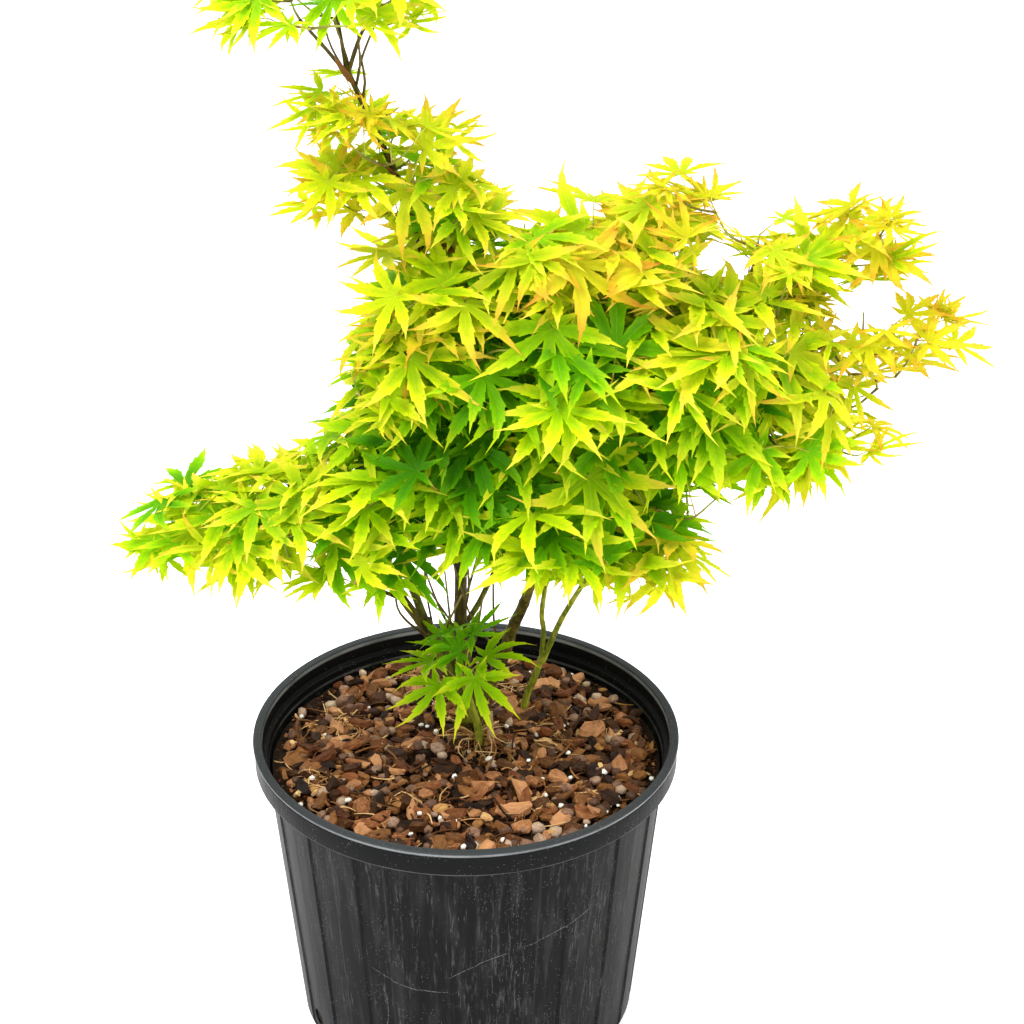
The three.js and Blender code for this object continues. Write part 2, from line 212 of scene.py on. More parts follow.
# Depths in the crown's field: where shoots may end anyway, where the crown is thin, where young pairs
# stop, and where the middle and the inner tints begin: deeper leaves get darker, greener tints, partly
# their own colour and partly painted shade.
JOINED_DEPTH = 0.76
THIN_DEPTH = 0.72
YOUNG_DEPTH = 0.85
SHADE_TINT_DEPTHS = (0.90, 1.07)
# How many places are tried in a spray, and how far apart shoots end where the crown is thin and where it
# isn't, against the spray's own figure.
PLACES_TRIED = 500
THIN_SPACING = 1.15
FULL_SPACING = 0.92
# Steps along a twig, and how many of them lie between two pairs of leaves.
TWIG_STEP = 6 * MM
PAIR_STEPS = 3
# A shoot this long is as thick and as dark at its foot as shoots get.
LONG_SHOOT = 120 * MM
# The length of a leaf's stalk against its blade: at a shoot's end, along it, and in a young pair.
END_STALK = 0.32
SIDE_STALK = 0.55
YOUNG_STALK = 0.16
# How far a leaf leans outwards, how unevenly leaves tilt, and the way to the light.
LEAF_LEAN = 0.40
LEAF_TILT = 0.26
LIGHT_SIDE = np.array((-0.03, -0.14, 0.0))
# How many turns are tried for a leaf, and by how much each of its sizes is shrunk.
TURNS_TRIED = 5
SHRINKS = (1.0, 0.8)
# How far a leaf may reach out of the masses, and how far past the CAD box.
FARTHEST = 3 * MM
BOX_SLACK = 8 * MM

# The leaves on the stem in front of the trunk: the way from the middle of their mass to each (along,
# back and up, 1 for 0.3 of the mass's size), its length in millimetres and its outermost tint.
BASAL_LEAVES = (
    ((-0.55, -0.5, -0.3), 42, "fresh"),
    ((0.35, -0.6, 0.0), 42, "fresh"),
    ((0.6, 0.2, 0.2), 40, "fresh"),
    ((-0.2, 0.5, 0.5), 32, "mid"),
    ((0.0, -0.1, 0.6), 32, "mid"),
    ((-0.7, 0.0, 0.2), 40, "fresh"),
    ((0.3, 0.3, 1.0), 32, "mid"),
    ((-0.3, 0.2, 1.1), 32, "mid"),
)
BASAL_REACH = 0.3

# Thin twigs that start on a limb: how many, the heights between which they start, and how far they rise,
# in millimetres.
WHIPS = (
    ("trunk", 6, 232, 300, 82),
    ("left_stem", 4, 236, 275, 82),
    ("left_fork_outer", 2, 285, 340, 60),
    ("right_stem", 3, 240, 300, 82),
    ("back_twig", 2, 285, 330, 82),
    ("leader", 5, 640, 664, 42),
)

# Dry curled bracts on the leader: where each hangs, and its way and reach, in millimetres.
BRACTS = (
    ((-22, -1, 556), (14, -9, -6)),
    ((-63, -4, 658), (-11, -6, 11)),
    ((-37, -4, 600), (-8, -7, 5)),
)

# Each tint, from the greenest: the colour by the leaf's stalk, along its margins and at its tips, and
# its material slot. The greenest are also the darkest; on inner leaves they are partly painted shade.
TINTS = {
    "deep": ((0.038, 0.185, 0.001), (0.100, 0.35, 0.002), (0.24, 0.50, 0.004), "green_leaves"),
    "mid": ((0.080, 0.310, 0.001), (0.26, 0.58, 0.002), (0.58, 0.73, 0.010), "green_leaves"),
    "fresh": ((0.125, 0.40, 0.001), (0.48, 0.72, 0.003), (0.86, 0.80, 0.03), "green_leaves"),
    "lime": ((0.20, 0.47, 0.002), (0.76, 0.82, 0.006), (0.92, 0.78, 0.06), "lime_leaves"),
    "yellow": ((0.26, 0.48, 0.002), (0.90, 0.85, 0.014), (0.92, 0.58, 0.07), "lime_leaves"),
    "gold": ((0.36, 0.52, 0.004), (0.86, 0.77, 0.025), (0.82, 0.38, 0.045), "gold_leaves"),
    "amber": ((0.48, 0.52, 0.006), (0.86, 0.64, 0.03), (0.70, 0.23, 0.03), "gold_leaves"),
}
TINT_ORDER = tuple(TINTS)


# ---------------------------------------------------------------- settings


def count_setting(name, description, default):
    return IntProperty(name=name, description=description, default=default)


def number_setting(name, description, default, unit="NONE"):
    return FloatProperty(name=name, description=description, default=default, unit=unit)


def length_setting(name, description, default):
    return number_setting(name, description, default, "LENGTH")


def colour_setting(name, description, default):
    return FloatVectorProperty(
        name=name, description=description, default=default, subtype="COLOR", min=0, max=1)


class PotSettings(PropertyGroup):
    """Sizes and colour of the nursery pot."""

    wall_top: length_setting("Wall Top", "Height where the fluted wall meets the band", 0.189)
    band_bottom: length_setting("Band Bottom", "Height of the plain band's lower edge", 0.191)
    wall_top_radius: length_setting(
        "Wall Top Radius", "Radius of the raised panels under the band", 0.131)
    foot_radius: length_setting("Foot Radius", "Radius of the raised panels at the foot", 0.112)
    flutes: count_setting("Flutes", "Raised panels round the wall", 20)
    flute_depth: length_setting("Flute Depth", "How far the sunk panels lie back", 0.0012)
    colour: colour_setting("Plastic", "Colour of the clean plastic", (0.0052, 0.0054, 0.0056))


class SoilSettings(PropertyGroup):
    """What lies on the potting mix."""

    chips: count_setting("Bark Chips", "Flat chips of bark", 1100)
    crumbs: count_setting("Crumbs", "Small bits between the chips", 2600)
    pebbles: count_setting("Pebbles", "Small rounded stones", 250)
    perlite: count_setting("Perlite", "White grains", 95)
    straws: count_setting("Straws", "Thin dry fibres", 420)
    seed: count_setting("Seed", "Changes how the pieces fall", 11)


class PlantSettings(PropertyGroup):
    """How the crown grows."""

    seed: count_setting("Seed", "Changes every shoot and leaf", 23)
    petiole: number_setting("Leaf Stalk", "Scales the length of every leaf stalk", 1.0)
    droop: number_setting("Droop", "How far the lobes hang", 0.12)
    leaf_scale: number_setting("Leaf Scale", "Enlarges every leaf", 1.0)


class StageSettings(PropertyGroup):
    """Floor, light and camera."""

    floor_size: length_setting("Floor", "Side of the floor", 40)
    floor_colour: colour_setting("Floor Colour", "Colour of the floor", (0.93, 0.93, 0.93))
    floor_glow: number_setting("Floor Glow", "Light from the floor itself", 0.34)
    sky: number_setting("Sky", "Strength of the even light all round", 1.0)
    lens: number_setting("Lens", "Focal length on a 36 mm sensor", 105)
    camera_place: FloatVectorProperty(
        name="Camera Place", description="Where the camera stands", subtype="TRANSLATION",
        default=(0.0302, -1.650, 1.277))
    camera_pitch: FloatProperty(
        name="Camera Pitch", description="How far the camera looks down", subtype="ANGLE",
        default=CAMERA_PITCH)


# ---------------------------------------------------------------- shader helpers


class Wire:
    """One output socket. Arithmetic on it adds Math nodes."""

    def __init__(self, shader, socket):
        self.shader = shader
        self.socket = socket

    def maths(self, operation, *values):
        return self.shader.maths(operation, *values)

    def __add__(self, other):
        return self.maths("ADD", self, other)

    def __sub__(self, other):
        return self.maths("SUBTRACT", self, other)

    def __rsub__(self, other):
        return self.maths("SUBTRACT", other, self)

    def __mul__(self, other):
        return self.maths("MULTIPLY", self, other)

    def __truediv__(self, other):
        return self.maths("DIVIDE", self, other)

    def __pow__(self, other):
        return self.maths("POWER", self, other)

    __radd__ = __add__
    __rmul__ = __mul__

    def floor(self):
        return self.maths("FLOOR", self)

    def step(self, low, high):
        """0 under low, 1 over high, and smooth between."""
        settings = {"interpolation_type": "SMOOTHSTEP"}
        return self.shader.node("ShaderNodeMapRange", settings, (self, low, high, 0.0, 1.0))

    def between(self, low, high, soft):
        """1 between low and high and 0 outside them, with a soft end inside each."""
        return self.step(low, low + soft) * (1 - self.step(high - soft, high))


class Shader:
    """A material under construction, with one Principled shader."""

    def __init__(self, name, roughness=0.5, specular=0.5):
        self.material = bpy.data.materials.new(name)
        self.material.use_nodes = True
        self.tree = self.material.node_tree
        self.surface = self.tree.nodes["Principled BSDF"]
        self.surface.inputs["Roughness"].default_value = roughness
        self.surface.inputs["Specular IOR Level"].default_value = specular

    def node(self, kind, settings=None, values=(), output=0):
        """Adds a node, with its settings and the values or links of its sockets. Returns an output."""
        node = self.tree.nodes.new(kind)
        for key, value in (settings or {}).items():
            setattr(node, key, value)
        pairs = values.items() if isinstance(values, dict) else enumerate(values)
        for key, value in pairs:
            self.plug(node.inputs[key], value)
        return Wire(self, node.outputs[output])

    def plug(self, socket, value):
        if isinstance(value, Wire):
            self.tree.links.new(value.socket, socket)
        elif isinstance(value, tuple) and len(value) == 3 and socket.type == "RGBA":
            socket.default_value = (*value, 1.0)
        else:
            socket.default_value = value

    def where(self):
        """Object coordinates, in metres."""
        return self.node("ShaderNodeTexCoord", output="Object")

    def place(self, upright=1):
        """Object coordinates for a texture. It is drawn out upwards where the factor is under 1."""
        return self.node("ShaderNodeMapping", None, {"Vector": self.where(), "Scale": (1, 1, upright)})

    def split(self, place):
        """The three parts of a place."""
        node = self.node("ShaderNodeSeparateXYZ", None, (place,)).socket.node
        return [Wire(self, part) for part in node.outputs]

    def maths(self, operation, *values):
        return self.node("ShaderNodeMath", {"operation": operation}, values)

    def noise(self, place, scale, detail=4.0, roughness=0.55):
        values = {"Vector": place, "Scale": scale, "Detail": detail, "Roughness": roughness}
        return self.node("ShaderNodeTexNoise", None, values)

    def cells(self, place, scale, feature="F1"):
        values = {"Vector": place, "Scale": scale}
        return self.node("ShaderNodeTexVoronoi", {"feature": feature}, values)

    def blend(self, first, second, factor):
        """The first colour, and more of the second as the factor rises."""
        values = {"Factor": factor, 6: first, 7: second}
        return self.node("ShaderNodeMix", {"data_type": "RGBA"}, values, output=2)

    def attribute(self, name):
        return self.node("ShaderNodeAttribute", {"attribute_name": name}, output="Fac")

    def uv(self):
        return self.node("ShaderNodeUVMap", {"uv_map": LEAF_UV})

    def ramp(self, factor, stops):
        """The colour at the factor's place among the stops."""
        node = self.tree.nodes.new("ShaderNodeValToRGB")
        bar = node.color_ramp
        while len(bar.elements) < len(stops):
            bar.elements.new(0.5)
        for element, (position, colour) in zip(bar.elements, stops):
            element.position = position
            element.color = (*colour, 1.0)
        self.plug(node.inputs[0], factor)
        return Wire(self, node.outputs[0])

    def finish(self, colour=None, roughness=None, height=None, bump=0.3, distance=0.001):
        """Plugs in the colour, the roughness and the bumps that are given."""
        if colour is not None:
            self.plug(self.surface.inputs["Base Color"], colour)
        if roughness is not None:
            self.plug(self.surface.inputs["Roughness"], roughness)
        if height is not None:
            values = {"Strength": bump, "Distance": distance, "Height": height}
            self.plug(self.surface.inputs["Normal"], self.node("ShaderNodeBump", None, values))
        return self.material


# ---------------------------------------------------------------- materials


def plastic_material(pot):
    """Matt moulded plastic with upright scuffs, long scratches, pale specks and worn edges, a painted
    sheen on the lip, and painted highlights on the lip's roll and on the band's lower edge.
    """
    shader = Shader("moulded_plastic", specular=0.05)
    streaks = shader.noise(shader.place(0.007), 560, 3.0, 0.75)
    broad = shader.noise(shader.place(0.05), 110, 3.0)
    patches = shader.noise(shader.place(0.35), 26, 4.0)
    grain = shader.noise(shader.place(), 900, 2.0, 0.7)
    scuffs = streaks.step(0.50, 0.72) * (broad + patches * 0.5).step(0.60, 0.92)
    fine = shader.noise(shader.place(0.03), 1500, 1.0)
    ticks = fine.step(0.70, 0.76) * broad.step(0.40, 0.6)
    washes = shader.noise(shader.place(0.004), 130, 2.0).step(0.45, 0.75)
    rare = shader.noise(shader.place(), 60, 2.0).step(0.46, 0.58)
    specks = (1 - shader.cells(shader.place(), 520).step(0.10, 0.16)) * rare
    height = shader.split(shader.where())[2]
    top = POT_HIGH.z
    wall = 1 - height.step(pot.wall_top - 2.0 * MM, pot.wall_top - 0.5 * MM)
    lip = height.step(top - 4.4 * MM, top - 2.4 * MM)
    # The band round the lip's roll that carries a painted highlight.
    roll = height.between(top - 4.0 * MM, top - 0.6 * MM, 1.0 * MM)
    # The band's lower edge, where a painted highlight goes.
    band_edge_highlight = height.between(pot.band_bottom - 1.7 * MM, pot.band_bottom + 0.8 * MM, 0.7 * MM)
    wear = (grain * 0.2 + patches).step(0.40, 0.75)
    layers = (
        ((0.070, 0.071, 0.071), washes * wall * 0.18),
        ((0.085, 0.086, 0.085), scuffs * wall * 0.7),
        # The whole lip lightened to a pale bluish grey: partly real wear and partly painted sheen.
        ((0.042, 0.046, 0.049), lip * 0.8),
        # A bright grey line along the lip's roll: painted highlight, stronger where there is real wear.
        ((0.32, 0.33, 0.335), roll * (0.35 + wear * 0.65) * 0.8),
        # A lighter line on the band's lower edge: painted highlight, stronger where there is real wear.
        ((0.10, 0.10, 0.098), band_edge_highlight * (0.3 + wear * 0.7)),
        ((0.16, 0.158, 0.15), ticks * wall * 0.5),
        ((0.17, 0.168, 0.16), scratch_mask(shader, grain) * 0.8),
        ((0.30, 0.29, 0.27), specks * 0.5),
    )
    tone = tuple(pot.colour)
    for worn, cover in layers:
        tone = shader.blend(tone, worn, cover)
    gloss = (0.44 + scuffs * 0.2 - patches * 0.06) * (1 - lip * 0.55)
    return shader.finish(tone, gloss, streaks * 0.5 + grain * 0.3 + patches * 0.2, 0.4, 0.5 * MM)


# Long curved scratches on the wall: middle of the arc (across, up), radius, and the part of it that
# shows (from, to), all in metres.
SCRATCHES = (
    ((-0.020, 0.175), 0.0900, (-0.062, -0.008)),
    ((0.052, 0.020), 0.1000, (-0.012, 0.030)),
    ((-0.120, 0.060), 0.0700, (-0.056, -0.046)),
    ((0.020, 0.240), 0.1200, (0.035, 0.085)),
)


def scratch_mask(shader, grain):
    """Thin curved lines on the wall: parts of circles seen from the side, broken by the grain."""
    across, _, up = shader.split(shader.where())
    mask = 0.0
    for (middle, rise), radius, (left, right) in SCRATCHES:
        away = shader.maths("SQRT", (across - middle) ** 2 + (up - rise) ** 2)
        line = 1 - shader.maths("ABSOLUTE", away - radius).step(0.1 * MM, 0.4 * MM)
        mask = mask + line * across.between(left, right, 6 * MM)
    return mask * grain.step(0.35, 0.6)


def chip_material(name, stops, roughness=0.8):
    """Loose bits and stalks: each has a tone of its own along the stops, and fibres along its length."""
    shader = Shader(name, roughness, 0.16)
    own = shader.node("ShaderNodeAttribute", {"attribute_name": "grain"}, output="Vector")
    drawn_out = shader.node("ShaderNodeMapping", None, {"Vector": own, "Scale": (0.12, 1, 1)})
    fibres = shader.noise(drawn_out, 900, 4.0, 0.7)
    patches = shader.noise(own, 260, 3.0)
    tone = shader.attribute("tone")
    colour = shader.ramp(tone + (fibres - 0.5) * 0.9 + (patches - 0.5) * 0.5, stops)
    return shader.finish(colour, None, fibres * 0.7 + patches * 0.3, 0.7, 0.8 * MM)


def bark_material(kind):
    """Young bark: two colours in long streaks, with pale pores."""
    _, dark, light = BARKS[kind]
    shader = Shader(f"{kind}_bark", 0.6, 0.22)
    streaks = shader.noise(shader.place(0.12), 330, 4.0, 0.65)
    patches = shader.noise(shader.place(), 45, 3.0)
    pores = 1 - shader.cells(shader.place(0.5), 300).step(0.12, 0.24)
    colour = shader.blend(dark, light, (streaks * 0.55 + patches * 0.45).step(0.38, 0.62))
    colour = shader.blend(colour, tuple(min(1, c * 1.7) for c in light), pores * 0.5)
    return shader.finish(colour, None, streaks * 0.7 + patches * 0.3, 0.6, 0.8 * MM)


def twig_material():
    """Twigs: red-brown on the old wood and olive towards the leaves."""
    shader = Shader("twig_bark", 0.55, 0.35)
    patches = shader.noise(shader.place(), 60, 3.0)
    tone = shader.attribute("tone")
    colour = shader.ramp(tone + (patches - 0.5) * 0.3, (
        (0.0, (0.050, 0.034, 0.004)), (0.45, (0.14, 0.10, 0.012)), (1.0, (0.34, 0.38, 0.04))))
    return shader.finish(colour, None, patches, 0.2, 0.4 * MM)


# How many shades a tint has, the part of a leaf that light shines through, and how far along a lobe the
# colour of its tip starts, for a leaf in the golden tints and for any other.
LEAF_BANDS = 4
LEAF_GLOW = 0.42
GOLDEN_TIP_START = 0.42
TIP_START = 0.50


def leaf_material(name):
    """A leaf's colour runs from its stalk to its margins and tips, with a pale midrib.

    The map's first part runs along a lobe. The second runs from the midrib out, in four bands
    that give four shades of the tint.
    """
    base, margin, tip, slot_name = TINTS[name]
    shader = Shader(f"{name}_leaf", 0.50, 0.07)
    along, band, _ = shader.split(shader.uv())
    scaled = band * LEAF_BANDS
    shade = scaled.floor() / (LEAF_BANDS - 1)
    across = scaled - scaled.floor()
    mottle = shader.noise(shader.uv(), 9.0, 4.0)
    veins = shader.maths("SINE", along * 62 - across * 9)
    edge = (across ** 2) * 0.45 + along.step(0.08, 0.85) * 0.8 + (mottle - 0.5) * 0.6
    colour = shader.blend(base, margin, edge.step(0.08, 0.82))
    colour = shader.blend(colour, margin, shade.step(0.2, 1.2) * 0.35)
    colour = shader.blend(colour, base, (1 - shade).step(0.4, 1.4) * 0.6)
    tip_start = GOLDEN_TIP_START if slot_name == "gold_leaves" else TIP_START
    colour = shader.blend(colour, tip, (along + across * 0.08).step(tip_start, 0.92))
    rib = (1 - across.step(0.03, 0.10)) * (1 - along.step(0.55, 0.9))
    pale = tuple(min(1.0, 0.7 * c + 0.3 * t + 0.04) for c, t in zip(margin, tip))
    colour = shader.blend(colour, pale, rib * 0.5)
    colour = shader.blend(colour, base, veins.step(0.75, 1.0) * (1 - along.step(0.6, 0.9)) * 0.35)
    shader.finish(colour)
    glow = shader.tree.nodes.new("ShaderNodeBsdfTranslucent")
    glow.inputs["Color"].default_value = (*(0.65 * b + 0.35 * m for b, m in zip(base, margin)), 1.0)
    mix = shader.tree.nodes.new("ShaderNodeMixShader")
    mix.inputs[0].default_value = LEAF_GLOW
    link = shader.tree.links.new
    link(shader.surface.outputs[0], mix.inputs[1])
    link(glow.outputs[0], mix.inputs[2])
    link(mix.outputs[0], shader.tree.nodes["Material Output"].inputs["Surface"])
    return shader.material


# ---------------------------------------------------------------- mesh helpers


# How far the grain of a shape lies from that of the point added before it.
GRAIN_STEP = 0.37 * MM


def even_turns(count):
    """Evenly spaced turns round a circle, in radians."""
    return np.linspace(0, math.tau, count, endpoint=False)


def add_object(name, data):
    """An object of the data, in the scene."""
    made = bpy.data.objects.new(name, data)
    bpy.context.collection.objects.link(made)
    return made


def mark_points(mesh, tones, grains):
    """Gives each point the tone and the grain that its material reads."""
    mesh.attributes.new("tone", "FLOAT", "POINT").data.foreach_set("value", tones.astype(np.float32))
    mesh.attributes.new("grain", "FLOAT_VECTOR", "POINT").data.foreach_set(
        "vector", grains.astype(np.float32).ravel())


class Heap:
    """Many small shapes joined in one mesh, each with a tone and a grain of its own."""

    def __init__(self):
        self.points = []
        self.faces = []
        self.tones = []
        self.grains = []
        self.maps = []
        self.count = 0

    def add(self, points, faces, tone=0.5, uv=None, grain=None):
        """Adds one shape. Its grain is its points before it was turned, so that fibres turn with it."""
        self.points.append(points)
        self.faces.extend([tuple(self.count + i for i in face) for face in faces])
        self.tones.append(np.broadcast_to(tone, len(points)))
        self.grains.append(points if grain is None else grain + self.count * GRAIN_STEP)
        if uv is not None:
            self.maps.append(uv)
        self.count += len(points)

    def build(self, name, material, smooth=True):
        """One object of all the shapes. Leaves get their map, and a sharp fold at each midrib."""
        mesh = bpy.data.meshes.new(name)
        mesh.from_pydata(np.concatenate(self.points).tolist(), [], self.faces)
        if self.maps:
            corner = np.empty(len(mesh.loops), np.int32)
            mesh.loops.foreach_get("vertex_index", corner)
            layer = mesh.uv_layers.new(name=LEAF_UV)
            maps = np.concatenate(self.maps)
            layer.uv.foreach_set("vector", maps[corner].astype(np.float32).ravel())
            ends = np.empty(2 * len(mesh.edges), np.int32)
            mesh.edges.foreach_get("vertices", ends)
            on_rib = (maps[:, 1] * LEAF_BANDS) % 1 < 0.1
            ribs = on_rib[ends.reshape(-1, 2)].all(1)
            mesh.attributes.new("sharp_edge", "BOOLEAN", "EDGE").data.foreach_set("value", ribs)
        else:
            mark_points(mesh, np.concatenate(self.tones), np.concatenate(self.grains))
        mesh.polygons.foreach_set("use_smooth", [smooth] * len(mesh.polygons))
        mesh.materials.append(material)
        return add_object(name, mesh)


def unit(vector):
    return vector / max(np.linalg.norm(vector), 1e-9)


def smooth_path(route, spacing):
    """Even steps along a smooth curve through the route's points."""
    route = np.asarray(route, float)
    ends = np.vstack([2 * route[0] - route[1], route, 2 * route[-1] - route[-2]])
    dense = []
    for a, b, c, d in zip(ends, ends[1:], ends[2:], ends[3:]):
        for t in np.linspace(0, 1, 24, endpoint=False):
            dense.append(0.5 * (2 * b + (c - a) * t + (2 * a - 5 * b + 4 * c - d) * t ** 2
                                + (3 * b - a - 3 * c + d) * t ** 3))
    dense = np.array([*dense, route[-1]])
    travel = np.concatenate([[0], np.cumsum(np.linalg.norm(np.diff(dense, axis=0), axis=1))])
    count = max(2, int(round(travel[-1] / spacing)) + 1)
    steps = np.linspace(0, travel[-1], count)
    return np.stack([np.interp(steps, travel, dense[:, k]) for k in range(3)], 1)


def tube(path, radii, sides):
    """A closed tube round the path. The radii are one per ring, or one per ring and side."""
    tangents = np.gradient(path, axis=0)
    tangents /= np.linalg.norm(tangents, axis=1)[:, None]
    side = unit(np.cross(tangents[0], (0.31, 0.94, 0.12)))
    angles = even_turns(sides)
    radii = np.broadcast_to(np.asarray(radii).reshape(len(path), -1), (len(path), sides))
    rings = []
    for centre, tangent, radius in zip(path, tangents, radii):
        side = unit(side - tangent * (side @ tangent))
        other = np.cross(tangent, side)
        circle = np.outer(np.cos(angles), side) + np.outer(np.sin(angles), other)
        rings.append(centre + circle * radius[:, None])
    faces = []
    for ring in range(len(path) - 1):
        for k in range(sides):
            a, b = ring * sides + k, ring * sides + (k + 1) % sides
            faces.append((a, b, b + sides, a + sides))
    faces.append(tuple(reversed(range(sides))))
    faces.append(tuple((len(path) - 1) * sides + k for k in range(sides)))
    return np.concatenate(rings), faces


def add_fibre(heap, rng, path, thick, thin_end, place=0.0):
    """Adds a fibre along the path, as thick as between two millimetre sizes and thinner at its end."""
    sides = 5
    radii = np.linspace(1, thin_end, len(path)) * rng.uniform(*thick) / 2 * MM
    points, faces = tube(path, radii, sides)
    heap.add(points + place, faces, rng.uniform(0, 1), grain=points)


def choose(shape):
    """Makes one object the active one and the only one selected."""
    bpy.ops.object.select_all(action="DESELECT")
    shape.select_set(True)
    bpy.context.view_layer.objects.active = shape


def turned_shell(name, sides, section, close=True):
    """A round shell modelled up its section: a disc, extruded ring by ring, then closed.

    The section is a list of radius and height, from the edge of the flat bottom on.
    """
    bpy.ops.object.select_all(action="DESELECT")
    radius, height = section[0]
    bpy.ops.mesh.primitive_circle_add(
        vertices=sides, radius=radius, fill_type="TRIFAN", location=(0, 0, height))
    shell = bpy.context.object
    shell.name = name
    bpy.ops.object.transform_apply(location=True, rotation=True, scale=True)
    bpy.ops.object.mode_set(mode="EDIT")
    bpy.ops.mesh.select_mode(type="EDGE")
    bpy.ops.mesh.select_all(action="SELECT")
    bpy.ops.mesh.normals_make_consistent(inside=True)
    bpy.ops.mesh.region_to_loop()
    for next_radius, next_height in section[1:]:
        rise = (0, 0, next_height - height)
        bpy.ops.mesh.extrude_edges_move(TRANSFORM_OT_translate={"value": rise})
        factor = next_radius / radius
        bpy.ops.transform.resize(value=(factor, factor, 1), center_override=(0, 0, 0))
        radius, height = next_radius, next_height
    if close:
        bpy.ops.mesh.edge_face_add()
    bpy.ops.mesh.select_all(action="SELECT")
    bpy.ops.mesh.normals_make_consistent(inside=False)
    bpy.ops.object.mode_set(mode="OBJECT")
    return shell


def arc(centre, radius, start, end, steps=4):
    """Points of a section on a round corner, by angles in degrees."""
    angles = np.radians(np.linspace(start, end, steps))
    return [(centre[0] + radius * math.cos(a), centre[1] + radius * math.sin(a)) for a in angles]


def settle(piece, slot_name, *nodes):
    """Rides the finished piece on the body and hides the nodes it stands for. The slot name is not used.
    """
    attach(piece, BODY)
    if nodes:
        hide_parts(*nodes)
    return piece


# ---------------------------------------------------------------- pot


def pot_section(pot):
    """The pot's section from the edge of its base, up the outside and down the inside."""
    top, lip = POT_HIGH.z, POT_HIGH.x
    band = lip - 1.0 * MM
    inner = lip - 6.5 * MM
    ledge = top - 11.5 * MM
    floor = 3.0 * MM
    wall = 2.6 * MM
    inset = wall + 1.2 * MM
    foot_round = 2.0 * MM
    roll, inner_roll = 1.3 * MM, 1.1 * MM
    rows = 6
    rise = (pot.wall_top - foot_round) / rows
    widening = (pot.wall_top_radius - pot.foot_radius) / rows
    outer_wall = [(pot.foot_radius + k * widening, foot_round + k * rise) for k in range(rows + 1)]
    return [
        (pot.foot_radius - 1.6 * MM, 0.0),
        (pot.foot_radius - 0.5 * MM, 0.5 * MM),
        *outer_wall,
        (pot.wall_top_radius + 1.0 * MM, pot.band_bottom - 1.4 * MM),
        *arc((band - 1.0 * MM, pot.band_bottom + 0.5 * MM), 1.0 * MM, -90, 0),
        (band, top - 4.2 * MM),
        (band - 0.35 * MM, top - 3.7 * MM),
        (band - 0.1 * MM, top - 3.2 * MM),
        *arc((lip - roll, top - roll), roll, -50, 90, 7),
        *arc((lip - 4.9 * MM, top - inner_roll), inner_roll, 90, 180),
        (inner, ledge + 0.6 * MM),
        (inner - 0.5 * MM, ledge),
        (inner - 2.7 * MM, ledge - 0.4 * MM),
        (inner - 3.2 * MM, ledge - 1.0 * MM),
        (pot.wall_top_radius - inset, pot.wall_top - 20 * MM),
        (pot.foot_radius - inset, floor + 2 * MM),
        (pot.foot_radius - inset - 2 * MM, floor),
    ]


# The columns of the wall in a pair of panels, one raised and one sunk, where the first pair starts, and
# how wide the flanks between panels are.
FLUTE_COLUMNS = 8
FLUTE_PHASE = math.radians(-4.5)
FLANK = math.radians(1.0)
WALL_MARGIN = 1.2 * MM
POT_EDGE = math.radians(24)
DRAIN_HOLES = 5
DRAIN_RADIUS = 6 * MM
DRAIN_HEIGHT = 12 * MM
DRILL_LENGTH = 20 * MM


def flute_wall(shell, pot):
    """Gathers the wall's columns into raised and sunk panels with narrow flanks between them."""
    pitch = math.tau / pot.flutes
    taper = (pot.wall_top_radius - pot.foot_radius) / pot.wall_top
    panel = pitch / 2 - FLANK
    half = FLUTE_COLUMNS // 2
    starts = [k * panel / (half - 1) for k in range(half)]
    turns = starts + [pitch / 2 + start for start in starts]
    for vertex in shell.data.vertices:
        x, y, z = vertex.co
        radius = math.hypot(x, y)
        if radius < 1e-6:
            continue
        column = round(math.atan2(x, -y) / (pitch / FLUTE_COLUMNS)) % (pot.flutes * FLUTE_COLUMNS)
        place = column % FLUTE_COLUMNS
        angle = FLUTE_PHASE + (column // FLUTE_COLUMNS) * pitch + turns[place]
        on_wall = 1.9 * MM < z < pot.wall_top + 0.1 * MM and radius > pot.foot_radius - 0.4 * MM
        outside = radius > pot.foot_radius + z * taper - WALL_MARGIN
        if on_wall and outside and place >= half:
            radius -= pot.flute_depth
        vertex.co = (radius * math.sin(angle), -radius * math.cos(angle), z)


def cut_drain_holes(shell, pot):
    """Round holes through the foot of the wall, in sunk panels."""
    sunk_middle = 0.75
    for k in range(DRAIN_HOLES):
        flute = sunk_middle + k * pot.flutes / DRAIN_HOLES
        angle = FLUTE_PHASE + flute * math.tau / pot.flutes
        place = (pot.foot_radius * math.sin(angle), -pot.foot_radius * math.cos(angle), DRAIN_HEIGHT)
        bpy.ops.mesh.primitive_cylinder_add(
            vertices=24, radius=DRAIN_RADIUS, depth=DRILL_LENGTH, location=place,
            rotation=(math.pi / 2, 0, angle))
        drill = bpy.context.object
        choose(shell)
        cut = shell.modifiers.new("drain", "BOOLEAN")
        cut.object = drill
        cut.operation = "DIFFERENCE"
        cut.solver = "EXACT"
        bpy.ops.object.modifier_apply(modifier=cut.name)
        bpy.data.objects.remove(drill)


class MAPLE_OT_pot(Operator):
    """Model the nursery pot: rolled lip, plain band, fluted wall and drain holes"""

    bl_idname = "maple.pot"
    bl_label = "Nursery Pot"

    def execute(self, context):
        pot = context.scene.maple_pot
        shell = turned_shell("nursery_pot", pot.flutes * FLUTE_COLUMNS, pot_section(pot))
        flute_wall(shell, pot)
        cut_drain_holes(shell, pot)
        choose(shell)
        bpy.ops.object.shade_smooth_by_angle(angle=POT_EDGE)
        shell.data.materials.append(plastic_material(pot))
        settle(shell, "black_plastic", "pot")
        return {"FINISHED"}


# ---------------------------------------------------------------- potting mix


